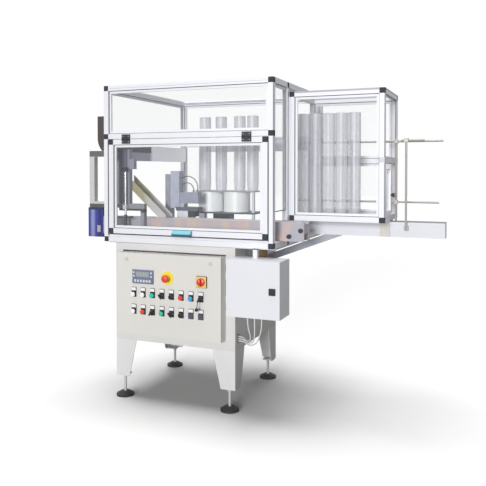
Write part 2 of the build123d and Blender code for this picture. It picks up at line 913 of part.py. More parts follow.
with BuildPart() as annex_tubes:
    for x in ax:
        inward_x = RIGHT if x == ax[0] else LEFT
        for y in ay:
            cx, cy = x + half_tube, y + half_tube
            spans = ((az[0], annex_mid), (annex_mid, az[1])) if x == ax[1] or y == ay[1] else ((az[0], az[1]),)
            for low, high in spans:
                fins = [inward_x]
                add(framing_tube((cx, cy, low + tube), (cx, cy, high), fins, fin_clear))
    for y in ay:
        cy = y + half_tube
        for z, fin in zip(az, (UP, DOWN)):
            add(framing_tube((ax[0] + tube, cy, z + half_tube), (ax[1], cy, z + half_tube), [fin]))
    middle_z = annex_mid + half_tube
    add(framing_tube((ax[0] + tube, ay[1] + half_tube, middle_z), (ax[1], ay[1] + half_tube, middle_z), [UP, DOWN]))
    for x, z in ((ax[0], az[1]), (ax[1], az[0]), (ax[1], az[1]), (ax[1], annex_mid)):
        cx = x + half_tube
        add(framing_tube((cx, ay[0] + tube, z + half_tube), (cx, ay[1], z + half_tube), []))
save(annex_tubes.part, "annex_tubes")

# Small framed panel low in the annex's right side, held by a knob
screen_y = (ay[0] + tube + seat_gap, ay[0] + tube + seat_gap + side_panel_depth)
screen_z = (az[0] + tube + seat_gap, annex_mid - side_panel_gap)
screen_x = ax[1]
with BuildPart() as side_panel_frame:
    with BuildSketch(Plane.YZ.offset(screen_x)):
        with Locations(((screen_y[0] + screen_y[1]) / 2, (screen_z[0] + screen_z[1]) / 2)):
            Rectangle(screen_y[1] - screen_y[0], screen_z[1] - screen_z[0])
            Rectangle(
                screen_y[1] - screen_y[0] - 2 * tube, screen_z[1] - screen_z[0] - 2 * tube, mode=Mode.SUBTRACT
            )
    extrude(amount=tube)
save(side_panel_frame.part, "side_panel_frame")
with BuildPart() as annex_panels:
    for y, low, high in ((ay[0], az[0], az[1]), (ay[1], az[0], annex_mid), (ay[1], annex_mid, az[1])):
        cy = y + half_tube
        add(
            block(
                (ax[0] + tube + pane_edge, cy - pane / 2, low + tube + pane_edge),
                (ax[1] - pane_edge, cy + pane / 2, high - pane_edge),
            )
        )
    with BuildSketch(Plane.YZ.offset(screen_x + half_tube - pane / 2)):
        with Locations(((screen_y[0] + screen_y[1]) / 2, (screen_z[0] + screen_z[1]) / 2)):
            Rectangle(
                screen_y[1] - screen_y[0] - 2 * tube - 2 * seat_gap,
                screen_z[1] - screen_z[0] - 2 * tube - 2 * seat_gap,
            )
    extrude(amount=pane)
save(annex_panels.part, "annex_panels")
with BuildPart() as side_panel_knob:
    with BuildSketch(Plane.YZ.offset(screen_x + tube)):
        with Locations((screen_y[1] - half_tube, screen_z[0] + side_panel_height * 0.36)):
            Circle(7)
    extrude(amount=8)
    with BuildSketch(Plane.YZ.offset(screen_x + tube + 8)):
        with Locations((screen_y[1] - half_tube, screen_z[0] + side_panel_height * 0.36)):
            Circle(12)
    extrude(amount=12)
save(side_panel_knob.part, "side_panel_knob")

# Magazine conveyor
beam_mid_y = beam_y0 + beam_depth / 2
with BuildPart() as magazine_beam:
    with BuildSketch(Plane.YZ.offset(beam_x0)):
        with Locations((beam_mid_y, (beam_z0 + beam_z1) / 2)):
            Rectangle(beam_depth, beam_height)
            with Locations((-beam_depth / 2, beam_height / 4), (-beam_depth / 2, -beam_height / 4)):
                Rectangle(beam_slot, beam_slot, mode=Mode.SUBTRACT)
            with Locations((beam_depth / 2, beam_height / 4), (beam_depth / 2, -beam_height / 4)):
                Rectangle(beam_slot, beam_slot, mode=Mode.SUBTRACT)
    extrude(amount=beam_length)
save(magazine_beam.part, "magazine_beam")
save(
    block(
        (beam_x0, beam_y0 + belt_edge, beam_z1),
        (beam_x1, beam_y0 + beam_depth - belt_edge, beam_z1 + belt_thickness),
    ),
    "magazine_belt",
)

# Bracket plates between the beam's sides and the annex's right end
with BuildPart() as beam_brackets:
    for y in (beam_y0 - seat_gap - bracket_sheet, beam_y0 + beam_depth + seat_gap):
        add(
            block(
                (annex_x1 - bracket_width, y, beam_z0 + 3),
                (annex_x1, y + bracket_sheet, annex_z0 - seat_gap),
            )
        )
save(beam_brackets.part, "beam_brackets")

# Round guide rods beside the cup stacks, carried by stands on the conveyor beam
rear_rod_y = beam_y0 + beam_depth + rod_gap + rod_diameter / 2
front_rod_y = beam_y0 - rod_gap - rod_diameter / 2
upper_z = beam_z1 + upper_rod_rise
lower_z = beam_z1 + lower_rod_rise
rods = (
    (rear_rod_y, upper_z, beam_x0 + rod_lead_in, annex_x1 + upper_rod_overreach),
    (rear_rod_y, lower_z, beam_x0 + rod_lead_in, annex_x1 + lower_rod_overreach),
    (front_rod_y, upper_z, annex_x1 + stand_overreach - short_rod_lead, annex_x1 + short_rod_overreach),
)
with BuildPart() as guide_rods:
    for y, z, start, end in rods:
        with BuildSketch(Plane.YZ.offset(start)):
            with Locations((y, z)):
                Circle(rod_diameter / 2)
        extrude(amount=end - start)
save(guide_rods.part, "guide_rods")

stands = (
    (annex_x1 - annex_width / 2 + 25, rear_rod_y, 1, (upper_z, lower_z)),
    (annex_x1 + stand_lead, rear_rod_y, 1, (upper_z, lower_z)),
    (annex_x1 + stand_overreach, front_rod_y, -1, (upper_z,)),
)
with BuildPart() as rod_stands:
    for x, y, outward, clamps in stands:
        stand_y = y + outward * (rod_diameter + seat_gap)
        with BuildSketch(Plane.XY.offset(beam_z0 + beam_height / 2)):
            with Locations((x, stand_y)):
                Circle(rod_diameter / 2)
        extrude(amount=upper_z + rod_diameter - beam_z0 - beam_height / 2)
        for z in clamps:
            with BuildSketch(Plane.XY.offset(z - clamp_size / 2)):
                with Locations((x, (stand_y + y) / 2)):
                    Rectangle(clamp_size, clamp_size + rod_diameter)
            extrude(amount=clamp_size)
            with BuildSketch(Plane.YZ.offset(x - clamp_size)):
                with Locations((y, z)):
                    Circle(rod_diameter / 2 + seat_gap)
            extrude(amount=2 * clamp_size, mode=Mode.SUBTRACT)
        foot_y = beam_y0 + beam_depth if outward > 0 else beam_y0
        with BuildSketch(Plane.XY.offset(beam_z0 + beam_height / 2)):
            with Locations((x, (foot_y + outward * seat_gap + stand_y) / 2)):
                Rectangle(clamp_size, abs(stand_y - foot_y) - seat_gap)
        extrude(amount=clamp_size)
save(rod_stands.part, "rod_stands")

# Stacks of tapered cups
def cup_stack(x, y, z, height, rim, foot):
    """One tall stack of nested cups, tapered at its foot."""
    with BuildPart() as result:
        with BuildSketch(Plane.XZ.offset(-y)):
            with BuildLine():
                Polyline(
                    (x, z),
                    (x + foot / 2, z),
                    (x + rim / 2 - 3, z + rim),
                    (x + rim / 2, z + rim),
                    (x + rim / 2, z + height),
                    (x, z + height),
                    close=True,
                )
            make_face()
        revolve(axis=Axis((x, y, 0), (0, 0, 1)))
    return result.part


stack_z = beam_z1 + belt_thickness + seat_gap
with BuildPart() as magazine_stacks:
    for column in range(cup_columns):
        x = ax[0] + cup_stack_inset + column * cup_pitch
        add(cup_stack(x, beam_mid_y, stack_z, cup_stack_height, cup_diameter, cup_foot_diameter))
save(magazine_stacks.part, "magazine_stacks")

# Bottle conveyor through the guard
lane_x0 = guard_x0 - lane_left_reach
lane_x1 = guard_x1 + lane_right_reach
lane_y0 = guard_y0 + lane_front
lane_z0 = guard_z0 + lane_bottom_rise
lane_z1 = lane_z0 + lane_height
lane_mid_y = lane_y0 + lane_width / 2
with BuildPart() as bottle_conveyor:
    with BuildSketch(Plane.YZ.offset(lane_x0)):
        with Locations((lane_mid_y, (lane_z0 + lane_z1) / 2)):
            Rectangle(lane_width, lane_height)
        with Locations((lane_mid_y, lane_z1 - chain_drop / 2)):
            Rectangle(lane_width - 2 * lane_side, chain_drop, mode=Mode.SUBTRACT)
        with Locations((lane_mid_y, lane_z0 + lane_height * 0.2)):
            Rectangle(lane_width - 2 * lane_side, lane_height * 0.4, mode=Mode.SUBTRACT)
    extrude(amount=lane_x1 - lane_x0)
    for x in (guard_x0 + lane_foot_inset, guard_x1 - lane_foot_inset):
        add(
            block(
                (x - lane_foot / 2, lane_y0, guard_z0 + seat_gap),
                (x + lane_foot / 2, lane_y0 + lane_width, lane_z0),
            )
        )
save(bottle_conveyor.part, "bottle_conveyor")
with BuildPart() as conveyor_chain:
    with BuildSketch(Plane.XY.offset(lane_z1 - chain_drop)):
        with Locations(((lane_x0 + lane_x1) / 2 - 10, lane_mid_y)):
            Rectangle(lane_x1 - lane_x0 - 40, lane_width - 2 * lane_side - 2)
    extrude(amount=chain_thickness)
save(conveyor_chain.part, "conveyor_chain")

# Adjusting knobs on the front of the conveyor
with BuildPart() as conveyor_knobs:
    with BuildSketch(Plane.XZ.offset(-lane_y0)):
        with Locations(
            (lane_x1 - knob_end, lane_z1 - lane_height * 0.42),
            (lane_x1 - knob_middle, lane_z1 - lane_height * 0.74),
        ):
            Circle(knob_diameter / 2)
    extrude(amount=knob_reach)
save(conveyor_knobs.part, "conveyor_knobs")

# Inner cup stacks stand on the dispenser plate over its two drums
plate_z1 = guard_z0 + dispenser_rise
plate_z0 = plate_z1 - dispenser_plate
deck_z = guard_z0
dispenser_y = beam_mid_y
dispenser_x0 = guard_x0 + dispenser_inset
with BuildPart() as inner_stacks:
    for offset in inner_stack_offsets:
        add(
            cup_stack(
                dispenser_x0 + offset,
                dispenser_y,
                plate_z1 + seat_gap,
                inner_stack_height,
                cup_diameter,
                cup_foot_diameter,
            )
        )
save(inner_stacks.part, "inner_stacks")

dispenser_mid_x = dispenser_x0 + dispenser_length / 2
base_z1 = plate_z0 - drum_height
base_z0 = base_z1 - dispenser_base
with BuildPart() as dispenser_frame:
    for low, high in ((plate_z0, plate_z1), (base_z0, base_z1)):
        with BuildSketch(Plane.XY.offset(low)):
            with Locations((dispenser_mid_x, dispenser_y)):
                Rectangle(dispenser_length, dispenser_depth)
        extrude(amount=high - low)
    with BuildSketch(Plane.XY.offset(deck_z)):
        with Locations((dispenser_mid_x, dispenser_y)):
            with GridLocations(dispenser_length - dispenser_post, dispenser_depth - dispenser_post, 2, 2):
                Rectangle(dispenser_post, dispenser_post)
    extrude(amount=base_z0 - deck_z)
    with BuildSketch(Plane.XY.offset(base_z1)):
        with Locations((dispenser_x0 + dispenser_length - dispenser_post / 2, dispenser_y)):
            with GridLocations(1, dispenser_depth - dispenser_post, 1, 2):
                Rectangle(dispenser_post, dispenser_post)
    extrude(amount=plate_z0 - base_z1)
    with BuildSketch(Plane.XY.offset(base_z0 - motor_height)):
        with Locations((dispenser_x0 + motor_inset + motor_length / 2, dispenser_y - (dispenser_depth - motor_depth) / 2)):
            Rectangle(motor_length, motor_depth)
    extrude(amount=motor_height)
save(dispenser_frame.part, "dispenser_frame")

# Drums turned with a rim at both ends
with BuildPart() as dispenser_drums:
    for x in (dispenser_x0 + drum_inset, dispenser_x0 + drum_inset + drum_pitch):
        with BuildSketch(Plane.XZ.offset(-dispenser_y)):
            with BuildLine():
                Polyline(
                    (x, base_z1 + seat_gap),
                    (x + drum_diameter / 2, base_z1 + seat_gap),
                    (x + drum_diameter / 2, base_z1 + drum_rim),
                    (x + drum_diameter / 2 - drum_lip, base_z1 + drum_rim),
                    (x + drum_diameter / 2 - drum_lip, plate_z0 - drum_rim),
                    (x + drum_diameter / 2, plate_z0 - drum_rim),
                    (x + drum_diameter / 2, plate_z0 - seat_gap),
                    (x, plate_z0 - seat_gap),
                    close=True,
                )
            make_face()
        revolve(axis=Axis((x, dispenser_y, 0), (0, 0, 1)))
save(dispenser_drums.part, "dispenser_drums")

# Feed column on the left, on a shelf over the star wheel
column_y = guard_y0 + column_setback
column_x0 = guard_x0 + column_inset
column_z0 = deck_z + column_bottom
feed_rod_x = guard_x0 + star_inset
feed_rod_y = lane_y0 - star_clearance - star_diameter / 2
feed_rod_z = lane_z1 + star_rise + 2 * star_thickness + seat_gap
with BuildPart() as feed_column:
    with BuildSketch(Plane.XY.offset(column_z0)):
        with Locations((column_x0 + column_width / 2, column_y + column_plate / 2)):
            Rectangle(column_width, column_plate)
        with Locations((column_x0 + column_width / 2, column_y)):
            with GridLocations(column_width / 4, 1, 3, 1):
                Rectangle(column_groove, 2 * column_groove_depth, mode=Mode.SUBTRACT)
    extrude(amount=column_height - column_bottom)
    with BuildSketch(Plane.XY.offset(column_z0 - shelf_thickness)):
        with Locations((column_x0 + shelf_width / 2, column_y + column_plate / 2)):
            Rectangle(shelf_width, column_plate)
    extrude(amount=shelf_thickness)
    with BuildSketch(Plane.XY.offset(column_z0)):
        with Locations((column_x0 + (column_width + shelf_width) / 2, column_y + column_plate / 2)):
            Rectangle(shelf_width - column_width, column_plate)
    extrude(amount=column_block)
    with BuildSketch(Plane.XY.offset(deck_z)):
        with Locations((column_x0 + shelf_width - shelf_leg / 2, column_y + column_plate / 2)):
            Rectangle(shelf_leg, column_plate)
    extrude(amount=column_bottom - shelf_thickness)
    with BuildSketch(Plane.XY.offset(deck_z + column_height * 0.78)):
        with Locations((column_x0 + column_width + column_block / 2, column_y + column_plate / 2)):
            Rectangle(column_block, column_plate)
    extrude(amount=2 * column_block)
    for z in (feed_rod_z + feed_rod_height * 0.12, feed_rod_z + feed_rod_height * 0.92):
        with BuildSketch(Plane.XY.offset(z)):
            with Locations((feed_rod_x, (feed_rod_y - feed_clamp / 2 + column_y) / 2)):
                Rectangle(feed_clamp, column_y - feed_rod_y + feed_clamp / 2)
            with Locations((feed_rod_x, feed_rod_y)):
                Circle(feed_rod_diameter / 2 + seat_gap, mode=Mode.SUBTRACT)
        extrude(amount=feed_clamp)
    with BuildSketch(Plane.XZ.offset(-feed_rod_y + feed_clamp / 2)):
        with Locations((feed_rod_x, feed_rod_z + feed_rod_height * 0.92 + feed_clamp / 2)):
            Circle(feed_knob / 2)
    extrude(amount=feed_clamp / 3)
save(feed_column.part, "feed_column")

with BuildPart() as feed_rod:
    with BuildSketch(Plane.XY.offset(feed_rod_z)):
        with Locations((feed_rod_x, feed_rod_y)):
            Circle(feed_rod_diameter / 2)
    extrude(amount=feed_rod_height)
save(feed_rod.part, "feed_rod")

# Chute: an open channel of folded sheet that slants down to the conveyor, its mouth cut level
chute_x0 = column_x0 + column_width * 0.5
chute_z1 = deck_z + column_height - chute_drop
chute_x1 = chute_x0 + chute_run
mouth_z = lane_z1 + chute_clearance
mouth_x = chute_x0 + (chute_z1 - chute_side - mouth_z) / chute_slope
with BuildPart() as chute:
    chute_y0 = column_y + column_plate + seat_gap
    with BuildSketch(Plane.XZ.offset(-chute_y0 - chute_width)):
        with BuildLine():
            Polyline(
                (chute_x0, chute_z1),
                (chute_x1, chute_z1 - chute_run * chute_slope),
                (chute_x1, mouth_z),
                (mouth_x, mouth_z),
                (chute_x0, chute_z1 - chute_side),
                close=True,
            )
        make_face()
    extrude(amount=chute_width)
    with BuildSketch(Plane.XZ.offset(-chute_y0 - chute_width + chute_sheet)):
        with BuildLine():
            Polyline(
                (chute_x0 - 10, chute_z1 + 100),
                (chute_x1 + 10, chute_z1 + 100),
                (chute_x1 + 10, chute_z1 - chute_side + 2 * chute_sheet - (chute_run + 10) * chute_slope),
                (chute_x0 - 10, chute_z1 - chute_side + 2 * chute_sheet + 10 * chute_slope),
                close=True,
            )
        make_face()
    extrude(amount=chute_width - 2 * chute_sheet, mode=Mode.SUBTRACT)
save(chute.part, "chute")

# Transfer station in the middle: post, head, valve block with air tubes and a cast foot
station_x0 = guard_x0 + station_inset
station_y0 = guard_y0 + station_setback
head_x1 = station_x0 + station_post + station_head
valve_z0 = deck_z + station_height * 0.55
foot_x0 = station_x0 + station_post + station_head * 0.75
with BuildPart() as transfer_station:
    for low, high in (
        ((station_x0, station_y0 + 8, deck_z), (station_x0 + station_post, station_y0 + station_depth - 8, deck_z + station_height)),
        ((station_x0 + station_post, station_y0, valve_z0 - 30), (head_x1, station_y0 + station_depth, deck_z + station_height + 19)),
        ((head_x1, station_y0 + 5, valve_z0), (head_x1 + valve_length, station_y0 + station_depth - 5, valve_z0 + valve_height)),
        ((foot_x0 - 5, station_y0 - 8, valve_z0 - 44), (head_x1 + valve_length, station_y0 + station_depth + 8, valve_z0 - 22)),
        ((foot_x0, station_y0, valve_z0 - 80), (foot_x0 + 120, station_y0 + station_depth, valve_z0 - 44)),
        ((foot_x0, station_y0, deck_z), (foot_x0 + 72, station_y0 + station_depth, valve_z0 - 80)),
        ((head_x1, station_y0 + 5, valve_z0 - 22), (head_x1 + 30, station_y0 + station_depth - 5, valve_z0)),
    ):
        add(block(low, high))
    for depth, start, middle, end in (
        (0.4, (head_x1 - 6, deck_z + 360), (head_x1 + 50, deck_z + 382), (head_x1 + 106, valve_z0 + valve_height - 3)),
        (0.65, (head_x1 - 6, deck_z + 318), (head_x1 + 34, deck_z + 342), (head_x1 + 76, valve_z0 + valve_height - 3)),
    ):
        plane = Plane.XZ.offset(-station_y0 - station_depth * depth)
        with BuildLine(plane) as path:
            ThreePointArc(start, middle, end)
        with BuildSketch(Plane(origin=path.line @ 0, z_dir=path.line % 0)):
            Circle(hose_diameter / 2)
        sweep(path=path.line)
save(transfer_station.part, "transfer_station")

# Infeed tunnel outside the left wall, with the blue guide under it and the bent deflector above
tunnel_y0 = guard_y0 + tunnel_setback
tunnel_x0 = guard_x0 - tunnel_reach
tunnel_z0 = guard_z0 + tunnel_bottom_rise
with BuildPart() as infeed_tunnel:
    with BuildSketch(Plane.XZ.offset(-tunnel_y0 - tunnel_depth)):
        with Locations(((tunnel_x0 + guard_x0) / 2, tunnel_z0 + tunnel_height / 2)):
            Rectangle(tunnel_reach - 2 * seat_gap, tunnel_height)
            Rectangle(tunnel_reach - 2 * tunnel_rim, tunnel_height - 2 * tunnel_rim, mode=Mode.SUBTRACT)
    extrude(amount=tunnel_depth)
save(infeed_tunnel.part, "infeed_tunnel")

deflector_x = guard_x0 - deflector_standoff
deflector_z = tunnel_z0 + tunnel_height + seat_gap
with BuildPart() as deflector:
    with BuildSketch(Plane.XZ.offset(-tunnel_y0)):
        with BuildLine():
            bend = ThreePointArc(
                (deflector_x - deflector_width, deflector_z + deflector_height * 0.4),
                (deflector_x - deflector_width * 0.84, deflector_z + deflector_height * 0.18),
                (deflector_x - deflector_width * 0.32, deflector_z),
            )
            Polyline(
                bend @ 1,
                (deflector_x, deflector_z),
                (deflector_x, deflector_z + deflector_height),
                (deflector_x - deflector_width, deflector_z + deflector_height),
                bend @ 0,
            )
        make_face()
    extrude(amount=-deflector_sheet)
    with BuildSketch(Plane.YZ.offset(deflector_x - deflector_width)):
        with Locations((tunnel_y0 + deflector_flange / 2, deflector_z + deflector_height * 0.71)):
            Rectangle(deflector_flange, deflector_height * 0.58)
    extrude(amount=deflector_sheet)
save(deflector.part, "deflector")

with BuildPart() as infeed_guide:
    with BuildSketch(Plane.YZ.offset(lane_x0)):
        with Locations((lane_mid_y, lane_z0 - guide_drop + guide_height / 2)):
            Rectangle(lane_width + 2 * guide_wall + 2 * seat_gap, guide_height)
            Rectangle(lane_width + 2 * seat_gap, guide_height - 2 * guide_wall, mode=Mode.SUBTRACT)
    extrude(amount=guide_length)
    with BuildSketch(Plane.XZ.offset(-lane_y0 + 2 * guide_wall)):
        with Locations((lane_x0 + notch_inset, lane_z0 + notch_rise)):
            Rectangle(notch_width, notch_height)
    extrude(amount=-2 * guide_wall, mode=Mode.SUBTRACT)
save(infeed_guide.part, "infeed_guide")

# Star wheel that times the bottles beside the lane
star_x = guard_x0 + star_inset
star_y = lane_y0 - star_clearance - star_diameter / 2
star_z = lane_z1 + star_rise
with BuildPart() as star_wheel:
    with BuildSketch(Plane.XY.offset(star_z)):
        with Locations((star_x, star_y)):
            Circle(star_diameter / 2)
            with PolarLocations(star_diameter / 2, star_pockets):
                Circle(star_pocket_diameter / 2, mode=Mode.SUBTRACT)
    extrude(amount=star_thickness)
    with BuildSketch(Plane.XY.offset(deck_z)):
        with Locations((star_x, star_y)):
            Circle(star_shaft / 2)
    extrude(amount=star_z + 2 * star_thickness - deck_z)
save(star_wheel.part, "star_wheel")

# Cables from the enclosure's glands to the entry on the cabinet's side
gland_y = box_y0 + gland_setback
gland_xs = [box_x0 + gland_inset + step * gland_pitch for step in range(3)]
with BuildPart() as cable_fittings:
    for x in gland_xs:
        with BuildSketch(Plane.XY.offset(box_z0 - gland_height)):
            with Locations((x, gland_y)):
                RegularPolygon(gland_diameter / 2, 6, major_radius=False)
        extrude(amount=gland_height)

    entry_y = cabinet_y0 + entry_setback
    entry_z = cabinet_z0 + entry_rise
    with BuildSketch(Plane.YZ.offset(cabinet_x1)):
        with Locations((entry_y, entry_z)):
            RectangleRounded(entry_width, entry_height, 5)
    extrude(amount=entry_thickness)
save(cable_fittings.part, "cable_fittings")

cable_start_z = box_z0 - gland_height
cable_end_x = cabinet_x1 + entry_thickness
cable_routes = {
    "cable_left": [
        (gland_xs[0], gland_y, cable_start_z),
        (gland_xs[0], gland_y, 502),
        (834, -79, 456),
        (826, -58, 420),
        (790, -30, 409),
        (cable_end_x + 30, entry_y, entry_z + 12),
        (cable_end_x, entry_y, entry_z + 12),
    ],
    "cable_middle": [
        (gland_xs[1], gland_y, cable_start_z),
        (gland_xs[1], gland_y, 499),
        (858, -79, 448),
        (840, -56, 410),
        (798, -30, 397),
        (cable_end_x + 34, entry_y, entry_z),
        (cable_end_x, entry_y, entry_z),
    ],
    "cable_right": [
        (gland_xs[2], gland_y, cable_start_z),
        (gland_xs[2], gland_y, 496),
        (882, -79, 441),
        (852, -54, 400),
        (804, -30, 385),
        (cable_end_x + 38, entry_y, entry_z - 12),
        (cable_end_x, entry_y, entry_z - 12),
    ],
}
for name, route in cable_routes.items():
    points = [Vector(*point) for point in route]
    runs = [after - before for before, after in zip(points, points[1:])]
    radii = []
    for before, after in zip(runs, runs[1:]):
        half_turn = radians(before.get_angle(after)) / 2
        radii.append(0.45 * min(before.length, after.length) / tan(half_turn))
    print(name, "radii", [round(radius, 1) for radius in radii])
    with BuildPart() as cable:
        with BuildLine() as path:
            FilletPolyline(*points, radius=radii)
        with BuildSketch(Plane(points[0], z_dir=runs[0])):
            Circle(cable_diameter / 2)
        sweep(path=path.wires()[0])
    section = 3.14159 * cable_diameter**2 / 4
    print(name, "length", round(path.wires()[0].length, 1), "fill", cable.part.volume / section / path.wires()[0].length)
    save(cable.part, name)
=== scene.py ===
"""Bottle filling machine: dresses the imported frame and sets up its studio.

All sizes are in metres, in the row frame: X to the right, Y to the back, Z up, with the origin
on the floor under the front left foot.
"""

import logging
import math
from dataclasses import dataclass
from enum import Enum

import bpy
import numpy as np
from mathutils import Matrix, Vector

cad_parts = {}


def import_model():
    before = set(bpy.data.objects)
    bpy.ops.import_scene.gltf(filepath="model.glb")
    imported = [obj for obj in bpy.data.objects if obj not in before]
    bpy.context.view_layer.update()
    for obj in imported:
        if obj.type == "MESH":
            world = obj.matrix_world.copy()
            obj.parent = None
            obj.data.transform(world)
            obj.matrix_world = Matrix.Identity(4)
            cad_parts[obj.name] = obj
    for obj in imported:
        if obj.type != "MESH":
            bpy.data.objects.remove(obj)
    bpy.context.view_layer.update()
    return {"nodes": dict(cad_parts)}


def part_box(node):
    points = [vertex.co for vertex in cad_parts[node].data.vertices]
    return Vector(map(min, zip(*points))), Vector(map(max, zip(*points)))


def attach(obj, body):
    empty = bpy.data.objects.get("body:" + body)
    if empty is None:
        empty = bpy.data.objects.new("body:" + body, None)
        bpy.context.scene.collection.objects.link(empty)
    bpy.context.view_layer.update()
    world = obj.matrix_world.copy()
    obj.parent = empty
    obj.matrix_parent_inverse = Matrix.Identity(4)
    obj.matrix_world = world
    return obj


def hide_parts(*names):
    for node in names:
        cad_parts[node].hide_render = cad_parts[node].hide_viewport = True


LOG = logging.getLogger("bottle_filling_machine")

Point = tuple[float, float, float]
Color = tuple[float, float, float]
Shade = tuple[int, int, int]
Pair = tuple[float, float]
Profile = tuple[Pair, ...]

# Colour sockets of the Mix node: its two inputs and its result.
MIX_COLORS = (6, 7)
MIX_RESULT = 2
# How far a roughness drifts either way.
ROUGHNESS_DRIFT = 0.04
# Angle in degrees up to which faces shade smoothly across an edge.
SMOOTH_ANGLE = 35.0
# Gap between a piece on the panel and the face behind it.
SEAT = 0.0002
# Ways out of the machine's front and upwards.
OUT = (0.0, -1.0, 0.0)
UP = (0.0, 0.0, 1.0)


class Body(Enum):
    """Rigid bodies that carry pieces of the scene."""

    MACHINE = "machine"
    FLAP = "front_flap"
    PANEL = "panel_door"


class Operator(Enum):
    """Arithmetic kinds of the Math node."""

    ADD = "ADD"
    MULTIPLY = "MULTIPLY"
    FRACTION = "FRACT"
    GREATER = "GREATER_THAN"
    LARGEST = "MAXIMUM"


class Blend(Enum):
    """Ways of mixing two colours."""

    MIX = "MIX"
    MULTIPLY = "MULTIPLY"


class Socket:
    """One value in a node tree, with arithmetic that adds Math nodes."""

    def __init__(self, shader: "Shader", link: bpy.types.NodeSocket) -> None:
        """Keeps the tree and the output socket."""
        self.shader = shader
        self.link = link

    def _math(self, operator: Operator, other: "Socket | float" = 0.0) -> "Socket":
        """Adds one Math node that clamps nothing."""
        return self.shader.node("ShaderNodeMath", {"operation": operator.value}, {0: self, 1: other})

    def __add__(self, other: "Socket | float") -> "Socket":
        """Sum."""
        return self._math(Operator.ADD, other)

    __radd__ = __add__

    def __mul__(self, other: "Socket | float") -> "Socket":
        """Product."""
        return self._math(Operator.MULTIPLY, other)

    __rmul__ = __mul__

    def fraction(self) -> "Socket":
        """Part after the decimal point."""
        return self._math(Operator.FRACTION)

    def above(self, level: float) -> "Socket":
        """1 where the value is above a level, else 0."""
        return self._math(Operator.GREATER, level)

    def or_larger(self, other: "Socket") -> "Socket":
        """The larger of two values."""
        return self._math(Operator.LARGEST, other)


class Shader:
    """Node tree of a material or of the world."""

    def __init__(
        self, owner: "bpy.types.Material | bpy.types.World", output: str = "ShaderNodeOutputMaterial"
    ) -> None:
        """Empties the owner's tree and puts an output in it.

        Args:
            owner: the material or world that the tree belongs to.
            output: type of the output node.
        """
        owner.use_nodes = True
        self.owner = owner
        self.tree = owner.node_tree
        self.tree.nodes.clear()
        self.output = self.tree.nodes.new(output)

    def node(self, kind: str, settings: dict, inputs: dict, output: "int | str" = 0) -> Socket:
        """Adds a node, sets it up, and returns one of its outputs.

        Args:
            kind: the node's type.
            settings: its own settings, set before its sockets.
            inputs: socket index or name to a Socket, a number, a vector, or a colour of three channels.
            output: index or name of the output that is returned.

        Returns:
            The output as a Socket.
        """
        made = self.tree.nodes.new(kind)
        for key, value in settings.items():
            setattr(made, key, value)
        for key, value in inputs.items():
            socket = made.inputs[key]
            if isinstance(value, Socket):
                self.tree.links.new(value.link, socket)
            else:
                socket.default_value = (*value, 1.0) if socket.type == "RGBA" else value
        return Socket(self, made.outputs[output])

    def position(self) -> Socket:
        """Object coordinates, in metres."""
        return self.node("ShaderNodeTexCoord", {}, {}, "Object")

    def axis(self, which: str) -> Socket:
        """One of the object coordinates."""
        return self.node("ShaderNodeSeparateXYZ", {}, {0: self.position()}, which)

    def noise(self, scale: float, detail: float, stretch: Point) -> Socket:
        """Noise from 0 to 1 over the object's coordinates, finer where stretch is larger."""
        place = self.node("ShaderNodeMapping", {}, {"Vector": self.position(), "Scale": stretch})
        return self.node("ShaderNodeTexNoise", {}, {"Vector": place, "Scale": scale, "Detail": detail})

    def ramp(self, value: Socket, start: float, end: float) -> Socket:
        """Straight ramp from 0 at start to 1 at end, held beyond both."""
        return self.node("ShaderNodeMapRange", {}, {"Value": value, "From Min": start, "From Max": end})

    def blend(
        self,
        factor: "Socket | float",
        low: "Socket | Color",
        high: "Socket | Color",
        way: Blend = Blend.MIX,
    ) -> Socket:
        """Colour from low to high by the factor or, when they multiply, from low to low times high."""
        first, second = MIX_COLORS
        return self.node(
            "ShaderNodeMix",
            {"data_type": "RGBA", "blend_type": way.value},
            {"Factor": factor, first: low, second: high},
            MIX_RESULT,
        )

    def end(self, last: Socket) -> None:
        """Links the last shader to the output."""
        self.tree.links.new(last.link, self.output.inputs["Surface"])

    def surface(self, inputs: dict) -> bpy.types.Material:
        """Ends the tree in a Principled shader with these inputs and returns the material."""
        self.end(self.node("ShaderNodeBsdfPrincipled", {}, inputs))
        return self.owner


def linear(shade: Shade) -> Color:
    """Linear colour of a display colour, by the display curve's straight and power sections."""
    shares = (channel / 255 for channel in shade)
    return tuple(
        share / 12.92 if share <= 0.04045 else ((share + 0.055) / 1.055) ** 2.4 for share in shares
    )


@dataclass(frozen=True)
class Finish:
    """Plain finish whose colour and roughness drift a little over the surface."""

    name: str
    shade: Shade
    roughness: float = 0.5
    metallic: float = 0.0
    alpha: float = 1.0
    coat: float = 0.0
    specular: float = 0.5
    drift: float = 0.04
    grain: float = 6.0
    detail: float = 3.0
    stretch: Point = (1.0, 1.0, 1.0)

    def tone(self, shader: Shader, noise: Socket) -> Socket:
        """Colour times 1 - drift + 2 drift noise, at most full.

        Args:
            shader: the tree that it is built in.
            noise: noise from 0 to 1.

        Returns:
            The colour.
        """
        color = linear(self.shade)
        low = tuple(channel * (1 - self.drift) for channel in color)
        high = tuple(min(1.0, channel * (1 + self.drift)) for channel in color)
        return shader.blend(noise, low, high)

    def make(self) -> bpy.types.Material:
        """Builds the material: the roughness drifts with the same noise as the colour.

        Returns:
            The material.
        """
        shader = Shader(bpy.data.materials.new(self.name))
        noise = shader.noise(self.grain, self.detail, self.stretch)
        return shader.surface(
            {
                "Base Color": self.tone(shader, noise),
                "Roughness": noise * (2 * ROUGHNESS_DRIFT) + (self.roughness - ROUGHNESS_DRIFT),
                "Metallic": self.metallic,
                "Alpha": self.alpha,
                "Coat Weight": self.coat,
                "Specular IOR Level": self.specular,
            }
        )


